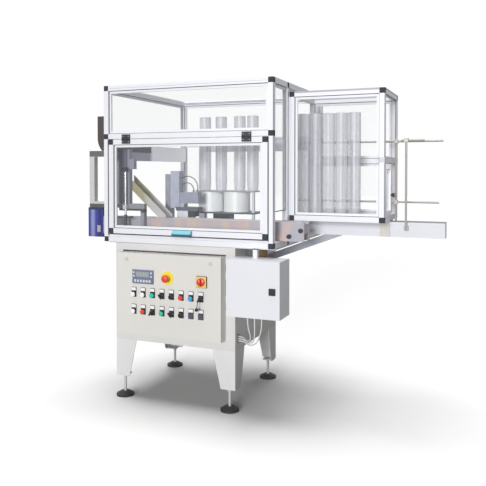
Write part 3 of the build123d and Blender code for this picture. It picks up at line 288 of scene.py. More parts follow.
@dataclass(frozen=True)
class Zone:
    """Box in the row frame that a finish colours its own way, with soft rims."""

    low: Point
    high: Point
    shade: Shade
    soft: float = 0.0005


@dataclass(frozen=True)
class ZoneFinish(Finish):
    """Finish of one node that stands for several pieces, each coloured inside its zone; some zones hold
    painted shade or a painted highlight instead.
    """

    roughness: float = 0.42
    metallic: float = 0.15
    drift: float = 0.1
    grain: float = 14.0
    zones: tuple[Zone, ...] = ()

    def share(self, shader: Shader, zone: Zone) -> Socket:
        """1 inside the zone and 0 outside: the product of a rising and a falling ramp on each axis.

        Args:
            shader: the tree that it is built in.
            zone: the zone.

        Returns:
            The share of the zone's colour.
        """
        total: "Socket | None" = None
        for which, start, end in zip("XYZ", zone.low, zone.high):
            for edge, way in ((start, 1), (end, -1)):
                ramp = shader.ramp(shader.axis(which) * way, edge * way - zone.soft, edge * way + zone.soft)
                total = ramp if total is None else total * ramp
        return total

    def tone(self, shader: Shader, noise: Socket) -> Socket:
        """Zone after zone is laid over the base colour, then all drifts with the noise.

        Args:
            shader: the tree that it is built in.
            noise: noise from 0 to 1.

        Returns:
            The colour.
        """
        color: "Socket | Color" = linear(self.shade)
        for zone in self.zones:
            color = shader.blend(self.share(shader, zone), color, linear(zone.shade))
        level = shader.blend(noise, (1 - self.drift,) * 3, (1 + self.drift,) * 3)
        return shader.blend(1.0, color, level, Blend.MULTIPLY)


@dataclass(frozen=True)
class CupFinish:
    """Clear nested cups: grey-lilac walls with upright streaks, and faint rims up the stack."""

    name: str
    dark: Shade = (202, 201, 212)
    light: Shade = (238, 238, 243)
    pitch: float = 0.0095
    rim_start: float = 0.7
    rim_alpha: float = 0.10
    wall_alpha: float = 0.56
    streak_alpha: float = 0.3
    streaks: float = 60.0
    broad: float = 0.4
    stretches: tuple[Point, Point] = ((1.0, 1.0, 0.02), (1.0, 1.0, 0.03))
    contrast: Pair = (0.38, 0.62)
    roughness: float = 0.25

    def make(self) -> bpy.types.Material:
        """Builds the material: streaks are noise drawn out along Z, rims the fraction of z / pitch.

        Returns:
            The material.
        """
        shader = Shader(bpy.data.materials.new(self.name))
        rim = (shader.axis("Z") * (1 / self.pitch)).fraction().above(self.rim_start)
        streak = shader.noise(self.streaks, 1.0, self.stretches[0])
        wide = shader.noise(self.streaks * self.broad, 1.0, self.stretches[1])
        mixed = shader.ramp(streak * (1 - self.broad) + wide * self.broad, *self.contrast)
        wall = self.wall_alpha - self.streak_alpha / 2
        return shader.surface(
            {
                "Base Color": shader.blend(mixed, linear(self.dark), linear(self.light)),
                "Roughness": self.roughness,
                "Alpha": rim * self.rim_alpha + streak * self.streak_alpha + wall,
            }
        )


@dataclass(frozen=True)
class LaneFinish:
    """Polished conveyor side with painted reflections of warm products nearby, as soft patches."""

    name: str
    steel: Shade = (176, 174, 184)
    pink: Shade = (196, 166, 172)
    amber: Shade = (206, 190, 166)
    patches: Pair = (13.0, 21.0)
    stretches: tuple[Point, Point] = ((1.0, 0.2, 0.4), (1.0, 0.3, 0.5))
    edge: Pair = (0.46, 0.66)
    roughness: float = 0.3
    roughness_drift: float = 0.2
    metallic: float = 0.1

    def make(self) -> bpy.types.Material:
        """Builds the material: two slow noises along X choose between steel, pink and amber.

        Returns:
            The material.
        """
        shader = Shader(bpy.data.materials.new(self.name))
        first, second = (
            shader.noise(scale, 1.0, stretch) for scale, stretch in zip(self.patches, self.stretches)
        )
        warm = shader.blend(second, linear(self.pink), linear(self.amber))
        return shader.surface(
            {
                "Base Color": shader.blend(shader.ramp(first, *self.edge), linear(self.steel), warm),
                "Roughness": first * self.roughness_drift + self.roughness,
                "Metallic": self.metallic,
            }
        )


# What the finishes of all framing tubes share.
PROFILE = {"roughness": 0.55, "metallic": 0.22, "drift": 0.03, "stretch": (1, 1, 0.2)}
ALUMINIUM = Finish("profile_aluminium", (230, 231, 236), **PROFILE)
# Painted shade on the right edge of the front right post, and painted shade in the groove along the top
# rail.
GUARD_ALUMINIUM = ZoneFinish(
    "guard_profile", (230, 231, 236), **PROFILE,
    zones=(
        Zone((0.9572, -0.1, 0.90), (0.98, -0.0685, 1.90), (112, 114, 122), 0.0003),
        Zone((-0.2, -0.1, 1.8170), (0.93, -0.0685, 1.8190), (176, 178, 184), 0.0004),
    ),
)
# Painted shade on the upper edge of the top rails and on the right edge of the front right post.
ANNEX_ALUMINIUM = ZoneFinish(
    "annex_profile", (226, 227, 232), **PROFILE,
    zones=(
        Zone((0.9, 0.1, 1.7735), (1.6, 0.8, 1.80), (168, 170, 176), 0.0006),
        Zone((1.4932, 0.1, 1.0), (1.6, 0.1985, 1.80), (112, 114, 122), 0.0003),
    ),
)
BEAM_ALUMINIUM = Finish(
    "beam_aluminium", (221, 222, 228), 0.55, 0.08, drift=0.03, stretch=(0.2, 1, 1)
)
SIDE_ALUMINIUM = Finish("side_aluminium", (238, 239, 243), 0.3, 0.75, drift=0.02)
FRAME_GREY = Finish("frame_grey", (206, 207, 212), 0.4, 0.1, drift=0.05)
TABLE_METAL = Finish("table_metal", (206, 207, 210), 0.38, 0.3)

CONNECTOR = Finish("connector_plastic", (60, 62, 74), 0.7, specular=0.25, drift=0.08)
# The middle connector of the front right post is pale like the tube.
ANNEX_CONNECTOR = ZoneFinish(
    "annex_connector", (60, 62, 74), 0.7, 0.0, specular=0.25, drift=0.08,
    zones=(Zone((1.45, 0.19, 1.37), (1.50, 0.235, 1.43), (226, 227, 232)),),
)
CLEAR = Finish("clear_panel", (235, 240, 244), 0.08, alpha=0.045, drift=0.01)
# Dark rubber of the seals, also used for strips that paint shade lines between parts.
SEAL_AND_SHADE = Finish("seal_and_shade_rubber", (62, 64, 70), 0.6)

PAINT = Finish("cabinet_paint", (220, 219, 217), 0.5, drift=0.02)
LEG_PAINT = Finish("leg_paint", (228, 228, 228), 0.45, drift=0.02)
PANEL_PAINT = Finish("panel_paint", (225, 223, 218), 0.5, drift=0.015)
ENCLOSURE_PAINT = Finish("enclosure_paint", (234, 235, 240), 0.45, drift=0.012)
BRACE_PAINT = Finish("brace_paint", (172, 175, 186), 0.45, drift=0.05)
# Brown front of its right half.
BRACKET_PAINT = ZoneFinish(
    "bracket_paint", (112, 114, 112), metallic=0.0,
    zones=(Zone((0.79, 0.10, 0.80), (0.86, 0.1335, 0.92), (132, 100, 58)),),
)
# Black cap at the top of the hanging post.
POST_PAINT = ZoneFinish(
    "post_paint", (234, 234, 238), metallic=0.0, drift=0.02,
    zones=(Zone((0.6, -0.2, 0.9155), (1.0, 0.2, 0.93), (30, 31, 34)),),
)

ROD_STEEL = Finish("rod_steel", (168, 166, 160), 0.4, 0.2)
SPINDLE_STEEL = Finish("spindle_steel", (226, 228, 232), 0.35, 0.4)
LOCK_STEEL = Finish("lock_steel", (206, 204, 200), 0.45, 0.1)
BRACKET_STEEL = Finish("bracket_steel", (204, 198, 192), 0.5, 0.1)
BRIGHT_STEEL = Finish("bright_steel", (205, 206, 208), 0.2, 0.9)
BLACK_METAL = Finish("black_metal", (40, 42, 46), 0.4, drift=0.1)
DEFLECTOR_METAL = Finish("deflector_steel", (70, 63, 62), 0.5, drift=0.14, stretch=(1, 1, 0.2))
# Painted shade on the front part of the beam, darker on the upper half of that part.
CROSS_BEAM = ZoneFinish(
    "cross_beam_steel", (246, 246, 250), 0.5, 0.7, drift=0.05, stretch=(1.0, 0.1, 1.0),
    zones=(
        Zone((-0.2, -0.2, 1.30), (0.1, 0.40, 1.60), (158, 161, 176), 0.02),
        Zone((-0.2, -0.2, 1.452), (0.1, 0.40, 1.60), (84, 85, 88), 0.004),
    ),
)
# Painted shade on the left part; lower edge of the foot, block on the foot, the rod's seat, and the black
# knob.
COLUMN_STEEL = ZoneFinish(
    "column_steel", (140, 142, 158), drift=0.16, grain=30.0, stretch=(3.0, 1.0, 0.15),
    zones=(
        Zone((-0.100, 0.0, 1.1425), (0.006, 0.060, 1.60), (94, 98, 116), 0.004),
        Zone((-0.100, 0.0, 1.09), (0.20, 0.060, 1.1125), (50, 52, 60)),
        Zone((0.0205, 0.0, 1.1125), (0.20, 0.060, 1.16), (142, 143, 150)),
        Zone((-0.011, -0.009, 1.105), (0.017, 0.0195, 1.14), (206, 207, 212)),
        Zone((-0.014, -0.030, 1.325), (0.020, 0.0195, 1.365), (24, 24, 27)),
    ),
)
# Edge of the plate over the drums, base plate, and the drive under it.
DISPENSER_STEEL = ZoneFinish(
    "dispenser_steel", (198, 200, 206),
    zones=(
        Zone((0.2, 0.2, 1.2070), (0.8, 0.6, 1.2160), (150, 152, 158)),
        Zone((0.2, 0.2, 1.0730), (0.8, 0.6, 1.0845), (84, 90, 102)),
        Zone((0.42, 0.2, 1.0300), (0.54, 0.6, 1.0738), (22, 22, 24)),
    ),
)
# Left post, cylinder block, air tubes, pale foot, black block, and base plate.
STATION_STEEL = ZoneFinish(
    "station_steel", (174, 178, 194), drift=0.22, grain=38.0, stretch=(1.0, 1.0, 0.6),
    zones=(
        Zone((0.10, 0.1, 0.92), (0.196, 0.4, 1.33), (150, 151, 164), 0.003),
        Zone((0.2565, 0.1, 1.139), (0.42, 0.4, 1.2073), (146, 151, 168)),
        Zone((0.2565, 0.1, 1.2073), (0.42, 0.4, 1.36), (96, 98, 108)),
        Zone((0.23, 0.1, 0.92), (0.42, 0.4, 1.0953), (224, 224, 230)),
        Zone((0.314, 0.1, 1.03), (0.42, 0.4, 1.0953), (26, 26, 30)),
        Zone((0.23, 0.1, 1.0953), (0.42, 0.4, 1.1175), (84, 89, 102)),
    ),
)
# Yellowish upper half.
CHUTE_STEEL = ZoneFinish(
    "chute_steel", (196, 195, 192), metallic=0.1, drift=0.12, grain=22.0,
    zones=(Zone((-0.2, 0.0, 1.0), (0.115, 0.2, 1.5), (164, 158, 124), 0.02),),
)
# Upper and lower bar.
TUNNEL_METAL = ZoneFinish(
    "tunnel_aluminium", (204, 204, 205), drift=0.04,
    zones=(
        Zone((-0.4, 0.0, 1.425), (0.0, 0.2, 1.50), (104, 104, 104)),
        Zone((-0.4, 0.0, 1.10), (0.0, 0.2, 1.1340), (96, 96, 98)),
    ),
)

# Painted highlight, painted shade on the middle, and upper rim.
BLUE_PLASTIC = ZoneFinish(
    "guide_plastic", (66, 74, 150), 0.25, 0.0, drift=0.18, grain=26.0,
    zones=(
        Zone((-0.275, -0.1, 0.90), (-0.248, 0.2, 1.2), (146, 152, 200), 0.008),
        Zone((-0.222, -0.1, 0.90), (-0.196, 0.2, 1.2), (50, 54, 112), 0.006),
        Zone((-0.4, -0.1, 1.098), (0.0, 0.2, 1.2), (58, 60, 92), 0.003),
    ),
)
# Painted shade on the lower part.
HANDLE_PLASTIC = ZoneFinish(
    "handle_plastic", (126, 204, 218), 0.35, 0.0, drift=0.05,
    zones=(Zone((0.0, -0.2, 0.90), (1.0, 0.0, 0.9835), (62, 92, 108), 0.0015),),
)
BLACK_PLASTIC = Finish("black_plastic", (30, 31, 34), 0.4)
GREY_PLASTIC = Finish("fitting_plastic", (120, 122, 126), 0.5)
CABLE_SHEATH = Finish("cable_plastic", (222, 221, 222), 0.45, drift=0.02)
DRUM_PLASTIC = Finish(
    "drum_plastic", (250, 253, 253), 0.3, alpha=0.94, drift=0.03, stretch=(1, 1, 0.1)
)
RUBBER = Finish("pad_rubber", (44, 45, 47), 0.65)
BELT = Finish("belt_rubber", (120, 124, 130), 0.6)
CHAIN = Finish("chain_plastic", (196, 198, 202), 0.45)
DISPLAY_BEZEL = Finish("display_bezel", (118, 124, 148), 0.4)
DISPLAY_GLASS = Finish("display_glass", (164, 172, 176), 0.2, drift=0.12, grain=160.0)
KEY_PLASTIC = Finish("display_key", (214, 218, 228), 0.4)
LABEL_WHITE = Finish("label_white", (250, 250, 250), 0.4)
CAP_WHITE = Finish("cap_white", (250, 250, 250), 0.25)
CAP_GREEN = Finish("cap_green", (48, 208, 170), 0.25)
CAP_RED = Finish("cap_red", (232, 74, 66), 0.25)
CAP_BLUE = Finish("cap_blue", (84, 164, 232), 0.25)
CAP_DARK = Finish("cap_dark", (84, 82, 96), 0.35)
STOP_RED = Finish("stop_red", (236, 74, 58), 0.28, coat=0.3)
STOP_YELLOW = Finish("stop_yellow", (244, 228, 70), 0.35)
SWITCH_YELLOW = Finish("switch_yellow", (240, 214, 120), 0.4)
SWITCH_RED = Finish("switch_red", (226, 62, 48), 0.3)
CUPS = CupFinish("cup_plastic")
LANE = LaneFinish("lane_steel")

AnyFinish = Finish | CupFinish | LaneFinish
MATERIALS: dict[str, bpy.types.Material] = {}


def material_of(finish: AnyFinish) -> bpy.types.Material:
    """Material of a finish, made once."""
    if finish.name not in MATERIALS:
        MATERIALS[finish.name] = finish.make()
    return MATERIALS[finish.name]


@dataclass
class Solid:
    """Vertices and faces of a closed shape."""

    points: np.ndarray
    faces: list[tuple[int, ...]]

    def __add__(self, other: "Solid") -> "Solid":
        """Both shapes in one mesh.

        Args:
            other: the shape that is added.

        Returns:
            The joint shape.
        """
        start = len(self.points)
        moved = [tuple(index + start for index in face) for face in other.faces]
        return Solid(np.vstack([self.points, other.points]), self.faces + moved)


def ring_faces(rings: int, around: int) -> list[tuple[int, ...]]:
    """Faces of a closed tube of rings, whose points run counter-clockwise about the way up.

    Args:
        rings: rings along the tube.
        around: points on each ring.

    Returns:
        Quads, and the two end faces.
    """
    row, column = np.meshgrid(np.arange(rings - 1), np.arange(around), indexing="ij")
    after = (column + 1) % around
    below, above = row * around, (row + 1) * around
    quads = np.stack([below + column, below + after, above + after, above + column], axis=-1).reshape(-1, 4)
    faces = [tuple(quad) for quad in quads.tolist()]
    faces.append(tuple(range(around - 1, -1, -1)))
    faces.append(tuple(range((rings - 1) * around, rings * around)))
    return faces


def lathe(profile: Profile, origin: Point, axis: Point, around: int = 24) -> Solid:
    """Turned shape: point (i, j) is origin + height_i axis + radius_i (cos t_j first + sin t_j second).

    Args:
        profile: radius and height pairs from one end to the other, radii above 0.
        origin: where height is 0.
        axis: unit vector along which height grows.
        around: points around.

    Returns:
        The closed shape.
    """
    way = np.array(axis, dtype=float)
    helper = np.array([0.0, 0.0, 1.0]) if abs(way[2]) < 0.9 else np.array([1.0, 0.0, 0.0])
    first = np.cross(helper, way)
    first /= np.linalg.norm(first)
    second = np.cross(way, first)
    turn = np.linspace(0, 2 * np.pi, around, endpoint=False)
    radius, height = np.array(profile).T
    spokes = np.cos(turn)[:, None] * first + np.sin(turn)[:, None] * second
    grid = np.array(origin) + height[:, None, None] * way + radius[:, None, None] * spokes
    return Solid(grid.reshape(-1, 3), ring_faces(len(profile), around))


def slab(low: Point, high: Point, ease: float = 0.0008, axis: int = 1) -> Solid:
    """Box with eased rims: its rectangle shrinks by ease at both ends along the axis.

    Args:
        low: lowest corner.
        high: highest corner.
        ease: width of the eased rim.
        axis: 0, 1 or 2, the way along which the rectangle is carried.

    Returns:
        The closed shape.
    """
    bottom, top = np.array(low, dtype=float), np.array(high, dtype=float)
    across, along = (axis + 1) % 3, (axis + 2) % 3
    heights = np.array([bottom[axis], bottom[axis] + ease, top[axis] - ease, top[axis]])
    inset = np.array([ease, 0.0, 0.0, ease])
    signs = np.array([(0, 0), (1, 0), (1, 1), (0, 1)])
    grid = np.empty((4, 4, 3))
    grid[..., axis] = heights[:, None]
    for column, place in ((0, across), (1, along)):
        start = bottom[place] + inset
        end = top[place] - inset
        grid[..., place] = np.where(signs[:, column][None, :] == 1, end[:, None], start[:, None])
    return Solid(grid.reshape(-1, 3), ring_faces(4, 4))


def merge(solids: list[Solid]) -> Solid:
    """All shapes in one mesh."""
    return sum(solids[1:], solids[0])


def place_piece(
    name: str,
    solid: Solid,
    finish: AnyFinish,
    body: Body,
    slot: str,
    stands_for: str = "",
    smooth: bool = False,
) -> None:
    """Makes an object of a shape, gives it its finish, and lets it ride on a body.

    Args:
        name: the piece's name.
        solid: its shape in the row frame.
        finish: its finish.
        body: the body that it moves with.
        slot: the record's material slot; not used.
        stands_for: the node whose plain solid it replaces, if any.
        smooth: whether its faces shade smoothly where they meet at small angles.
    """
    mesh = bpy.data.meshes.new(name)
    mesh.from_pydata(solid.points.tolist(), [], solid.faces)
    mesh.materials.append(material_of(finish))
    if smooth:
        mesh.shade_smooth()
        mesh.set_sharp_from_angle(angle=math.radians(SMOOTH_ANGLE))
    mesh.update()
    made = bpy.data.objects.new(name, mesh)
    bpy.context.scene.collection.objects.link(made)
    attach(made, body.value)
    if stands_for:
        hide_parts(stands_for)
    LOG.info("piece %s: %d faces", name, len(solid.faces))


def dress(frame: dict, node: str, finish: AnyFinish) -> None:
    """Gives a CAD node a finish.

    Args:
        frame: the loaded frame.
        node: the node's name.
        finish: its finish.
    """
    data = frame["nodes"][node].data
    data.materials.clear()
    data.materials.append(material_of(finish))


class Kind(Enum):
    """What sits in a place on the control panel, by the name of the piece that it goes into."""

    WHITE = "button_white"
    GREEN = "button_green"
    RED = "button_red"
    BLUE = "button_blue"
    BLACK = "button_black"
    SELECTOR = "selector_knobs"
    LEVER = "ball_lever"
    SQUARE = "cap_dark"


KIND_FINISH: dict[Kind, Finish] = {
    Kind.WHITE: CAP_WHITE,
    Kind.GREEN: CAP_GREEN,
    Kind.RED: CAP_RED,
    Kind.BLUE: CAP_BLUE,
    Kind.SQUARE: CAP_DARK,
}


@dataclass
class Buttons:
    """Two rows of buttons and selectors on the control panel door, with holders and labels."""

    height: float = 0.466
    first_x: float = 0.112
    pitch: float = 0.061
    row_heights: Pair = (0.231, 0.133)
    rows: tuple[tuple[Kind, ...], ...] = (
        (
            Kind.WHITE, Kind.WHITE, Kind.GREEN, Kind.SELECTOR,
            Kind.BLACK, Kind.RED, Kind.BLUE, Kind.LEVER,
        ),
        (
            Kind.WHITE, Kind.RED, Kind.SELECTOR, Kind.GREEN,
            Kind.SELECTOR, Kind.BLACK, Kind.SQUARE, Kind.SQUARE,
        ),
    )
    holder_width: float = 0.030
    holder_drop: float = 0.016
    holder_rise: float = 0.040
    holder_depth: float = 0.005
    label_width: float = 0.027
    label_up: Pair = (0.021, 0.038)
    label_depth: float = 0.001
    label_ease: float = 0.0003
    cap_radius: float = 0.0135
    cap_start: float = 0.005
    cap_reach: float = 0.013
    crown_share: float = 0.86
    crown_rise: float = 0.002
    tip_radius: float = 0.002
    tip_rise: float = 0.0025
    collar: Profile = ((0.0148, 0), (0.0148, 0.009), (0.011, 0.010))
    square_half: float = 0.0140
    square_up: Pair = (-0.015, 0.0165)
    square_reach: float = 0.012
    square_ease: float = 0.001
    knob: Profile = ((0.0125, 0.005), (0.0120, 0.016), (0.0110, 0.017))
    grip_half: Pair = (0.0042, 0.0150)
    grip_reach: Pair = (0.021, 0.033)
    tilt: float = 0.7
    lever_tilt: float = 0.9
    stem: Profile = ((0.0022, 0), (0.0022, 0.046))
    stem_start: Point = (-0.004, -0.030, 0.0)
    stem_way: Point = (-0.12, -0.18, -0.976)
    ball_radius: float = 0.0098
    ball_place: Point = (-0.0098, -0.039, -0.052)
    ball_pole: float = 0.08
    ball_rings: int = 13
    stem_around: int = 12
    ball_around: int = 20

    def turned(self, profile: Profile, spot: Point) -> Solid:
        """Turned shape that stands on a holder's face."""
        return lathe(profile, (spot[0], spot[1] - self.holder_depth, spot[2]), OUT)

    def plate(self, x: float, y: float, z: float) -> Solid:
        """Black carrier behind a button and its label."""
        half = self.holder_width / 2
        return slab(
            (x - half, y - self.holder_depth, z - self.holder_drop), (x + half, y, z + self.holder_rise)
        )

    def label(self, x: float, y: float, z: float) -> Solid:
        """White strip over a button.

        Args:
            x: middle of the button.
            y: face that its holder stands on.
            z: middle of the button.

        Returns:
            The strip.
        """
        half, (low, high) = self.label_width / 2, self.label_up
        back = y - self.holder_depth
        front = back - self.label_depth
        return slab((x - half, front, z + low), (x + half, back, z + high), self.label_ease)

    def cap(self, spot: Point) -> Solid:
        """Crowned push cap.

        Args:
            spot: middle of the button on the face that its holder stands on.

        Returns:
            The cap.
        """
        radius, reach = self.cap_radius, self.cap_reach
        profile = (
            (radius, self.cap_start),
            (radius, reach),
            (radius * self.crown_share, reach + self.crown_rise),
            (self.tip_radius, reach + self.tip_rise),
        )
        return self.turned(profile, spot)

    def square(self, x: float, y: float, z: float) -> Solid:
        """Square push cap on the door itself."""
        half, (low, high) = self.square_half, self.square_up
        return slab((x - half, y - self.square_reach, z + low), (x + half, y, z + high), self.square_ease)

    def selector(self, spot: Point, tilt: float) -> Solid:
        """Turning knob with a grip bar that leans.

        Args:
            spot: middle of the knob on the face that its holder stands on.
            tilt: angle by which the bar leans to the right, in radians.

        Returns:
            The knob and its bar.
        """
        x, y, z = spot
        (wide, tall), (near, far) = self.grip_half, self.grip_reach
        bar = slab((-wide, y - far, -tall), (wide, y - near, tall))
        turn = np.array([[math.cos(tilt), math.sin(tilt)], [-math.sin(tilt), math.cos(tilt)]])
        bar.points[:, [0, 2]] = bar.points[:, [0, 2]] @ turn.T + (x, z)
        return self.turned(self.knob, spot) + bar

    def lever(self, spot: Point) -> Solid:
        """Selector with a thin stem that ends in a hanging ball.

        Args:
            spot: middle of the knob on the face that its holder stands on.

        Returns:
            The knob, the stem and the ball.
        """
        stem = lathe(self.stem, np.add(spot, self.stem_start), self.stem_way, self.stem_around)
        angles = np.linspace(self.ball_pole, np.pi - self.ball_pole, self.ball_rings).tolist()
        arc = tuple((self.ball_radius * math.sin(a), -self.ball_radius * math.cos(a)) for a in angles)
        ball = lathe(arc, np.add(spot, self.ball_place), UP, self.ball_around)
        return self.selector(spot, self.lever_tilt) + stem + ball

    def head(self, kind: Kind, spot: Point, tilt: float) -> Solid:
        """What is pushed or turned in one place.

        Args:
            kind: what it is.
            spot: its middle on the face that its holder stands on.
            tilt: angle of a selector's bar, in radians.

        Returns:
            Its shape.
        """
        if kind is Kind.SQUARE:
            return self.square(*spot)
        if kind is Kind.SELECTOR:
            return self.selector(spot, tilt)
        return self.lever(spot) if kind is Kind.LEVER else self.cap(spot)

    def build(self) -> None:
        """Makes both rows, one piece for each kind; each selector leans against the one before."""
        low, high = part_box("control_panel_door")
        base, tilt = high[2] - self.height, self.tilt
        groups: dict[Kind, list[Solid]] = {}
        holders, labels = [], []
        for row_height, kinds in zip(self.row_heights, self.rows):
            for column, kind in enumerate(kinds):
                spot = (low[0] + self.first_x + column * self.pitch, low[1] - SEAT, base + row_height)
                tilt = -tilt if kind is Kind.SELECTOR else tilt
                plate = self.plate(*spot)
                holders.append(plate if kind is Kind.SQUARE else plate + self.turned(self.collar, spot))
                labels.append(self.label(*spot))
                groups.setdefault(kind, []).append(self.head(kind, spot, tilt))
        where = (Body.PANEL, "button_plastic", "push_buttons")
        place_piece("button_holders", merge(holders), BLACK_PLASTIC, *where, True)
        place_piece("button_labels", merge(labels), LABEL_WHITE, *where)
        for kind, solids in groups.items():
            place_piece(kind.value, merge(solids), KIND_FINISH.get(kind, BLACK_PLASTIC), *where, True)


@dataclass
class Display:
    """Display unit: bezel, screen, a row of keys under it and two keys on each side.

    Places on its face are shares of its width and height.
    """

    setback: float = 0.0015
    bezel_ease: float = 0.003
    screen_across: Pair = (0.19, 0.80)
    screen_up: Pair = (0.50, 0.86)
    screen_depth: float = 0.0008
    screen_ease: float = 0.0003
    keys: int = 6
    key_start: float = 0.16
    key_step: float = 0.136
    key_half: float = 0.045
    key_up: Pair = (0.12, 0.30)
    key_depth: float = 0.002
    key_ease: float = 0.0005
    side_across: Pair = (0.09, 0.91)
    side_up: Pair = (0.55, 0.80)
    side_half: Pair = (0.006, 0.005)

    def build(self) -> None:
        """Makes the bezel, the screen and the keys in place of the plain block."""
        low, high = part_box("display_unit")
        front = low[1] + self.setback
        pressed = front - self.key_depth
        width, height = high[0] - low[0], high[2] - low[2]
        bezel = slab((low[0], front, low[2]), (high[0], high[1] - SEAT, high[2]), self.bezel_ease)
        (x0, x1), (z0, z1) = self.screen_across, self.screen_up
        screen = slab(
            (low[0] + width * x0, front - self.screen_depth, low[2] + height * z0),
            (low[0] + width * x1, front, low[2] + height * z1),
            self.screen_ease,
        )
        keys = []
        z0, z1 = (low[2] + height * share for share in self.key_up)
        for column in range(self.keys):
            x, half = low[0] + width * (self.key_start + self.key_step * column), width * self.key_half
            keys.append(slab((x - half, pressed, z0), (x + half, front, z1), self.key_ease))
        wide, tall = self.side_half
        for across in self.side_across:
            for up in self.side_up:
                x, z = low[0] + width * across, low[2] + height * up
                keys.append(slab((x - wide, pressed, z - tall), (x + wide, front, z + tall), self.key_ease))
        where = (Body.PANEL, "display_plastic", "display_unit")
        place_piece("display_bezel", bezel, DISPLAY_BEZEL, *where)
        place_piece("display_screen", screen, DISPLAY_GLASS, *where)
        place_piece("display_keys", merge(keys), KEY_PLASTIC, *where)


@dataclass
class EmergencyStop:
    """Yellow disc with a red mushroom head on its neck."""

    disc: Profile = ((0.0, 0), (0.0, 0.003), (-0.001, 0.0035))
    neck: Profile = ((0.015, 0.003), (0.015, 0.025))
    head: Profile = (
        (0.015, 0.022), (0.021, 0.024), (0.022, 0.028), (0.0215, 0.034), (0.018, 0.0385), (0.010, 0.0412),
        (0.001, 0.042),
    )
    disc_around: int = 48
    head_around: int = 40

    def build(self) -> None:
        """Makes the disc as wide as the node, the neck and the head."""
        low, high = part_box("emergency_stop")
        spot = ((low[0] + high[0]) / 2, high[1] - SEAT, (low[2] + high[2]) / 2)
        radius = (high[0] - low[0]) / 2
        disc = tuple((radius + wider, height) for wider, height in self.disc)
        where = (Body.PANEL, "stop_plastic", "emergency_stop")
        place_piece("stop_disc", lathe(disc, spot, OUT, self.disc_around), STOP_YELLOW, *where)
        place_piece("stop_neck", lathe(self.neck, spot, OUT), STOP_YELLOW, *where)
        place_piece("stop_head", lathe(self.head, spot, OUT, self.head_around), STOP_RED, *where, True)


@dataclass
class MainSwitch:
    """Main switch: black back, yellow plate, and red knob with its grip and white mark."""

    back_reach: float = 0.009
    back_ease: float = 0.001
    plate_inset: float = 0.002
    plate_reach: float = 0.0105
    plate_ease: float = 0.0004
    knob: Profile = ((0.023, 0.0105), (0.0225, 0.021), (0.020, 0.0225))
    knob_around: int = 36
    grip_half: Pair = (0.0065, 0.0185)
    grip_reach: Pair = (0.0225, 0.0375)
    grip_ease: float = 0.002
    mark_half: float = 0.0012
    mark_up: Pair = (0.004, 0.015)
    mark_reach: float = 0.0379
    mark_ease: float = 0.0001

    def build(self) -> None:
        """Makes the switch in place of the plain one."""
        low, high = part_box("main_switch")
        x, z, y = (low[0] + high[0]) / 2, (low[2] + high[2]) / 2, high[1] - SEAT
        half = (high[0] - low[0]) / 2

        def layer(wide: float, up: Pair, reach: Pair, ease: float) -> Solid:
            """Slab about the switch's middle, from one reach to the other."""
            near, far = reach
            return slab((x - wide, y - far, z + up[0]), (x + wide, y - near, z + up[1]), ease)

        back = layer(half, (-half, half), (0.0, self.back_reach), self.back_ease)
        inner = half - self.plate_inset
        plate = layer(inner, (-inner, inner), (self.back_reach, self.plate_reach), self.plate_ease)
        wide, tall = self.grip_half
        grip = layer(wide, (-tall, tall), self.grip_reach, self.grip_ease)
        mark = layer(self.mark_half, self.mark_up, (self.grip_reach[1], self.mark_reach), self.mark_ease)
        knob = lathe(self.knob, (x, y, z), OUT, self.knob_around)
        where = (Body.PANEL, "switch_plastic", "main_switch")
        place_piece("switch_back", back, BLACK_PLASTIC, *where)
        place_piece("switch_plate", plate, SWITCH_YELLOW, *where)
        place_piece("switch_knob", knob + grip, SWITCH_RED, *where, True)
        place_piece("switch_mark", mark, LABEL_WHITE, *where)


@dataclass
class CupStacks:
    """Ribbed stacks of nested clear cups, in place of the plain columns."""

    pitch: float = 0.0095
    rim: float = 0.0016
    radius: float = 0.037
    foot_radius: float = 0.033
    rings_per_cup: int = 3
    around: int = 28
    clearance: float = 0.0002
    row_pitch: float = 0.076
    row_count: int = 5
    inner_offsets: tuple[float, ...] = (0.0, 0.110, 0.236, 0.323)

    def stack(self, x: float, y: float, low: float, high: float) -> Solid:
        """One stack: radius = R - rim (1 - fraction of z / pitch), tapering to the foot at its lower end.

        Args:
            x: middle of the stack.
            y: middle of the stack.
            low: height of its lower end.
            high: height of its upper end.

        Returns:
            The turned shape.
        """
        count = int((high - low) / self.pitch) * self.rings_per_cup
        heights = np.linspace(low, high, count + 1)
        share = np.mod((heights - low) / self.pitch, 1.0)
        lift = np.clip((heights - low) / (2 * self.radius), 0, 1)
        body = self.foot_radius + (self.radius - self.foot_radius) * lift
        radii = body - self.rim * np.where(lift < 1, 0.0, 1 - share)
        profile = tuple(zip(radii.tolist(), (heights - low).tolist()))
        return lathe(profile, (x, y, low), UP, self.around)

    def build(self) -> None:
        """Replaces both groups of columns: the annex row by its pitch, the inner ones by their offsets."""
        row = tuple(self.row_pitch * column for column in range(self.row_count))
        for node, offsets in (("magazine_stacks", row), ("inner_stacks", self.inner_offsets)):
            low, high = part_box(node)
            start, y = low[0] + self.radius, (low[1] + high[1]) / 2
            stacks = [self.stack(start + offset, y, low[2], high[2] - self.clearance) for offset in offsets]
            place_piece(node + "_ribbed", merge(stacks), CUPS, Body.MACHINE, "cup_plastic", node, True)


@dataclass(frozen=True)
class Route:
    """Way of one cable: down from its gland, round its bends and straight into the entry.

    Drop is the height at which it starts to bend, lead how far before the entry it runs straight,
    and rise the height of its end over the entry's middle.
    """

    node: str
    gland_x: float
    drop: float
    bends: tuple[Point, Point, Point]
    lead: float
    rise: float


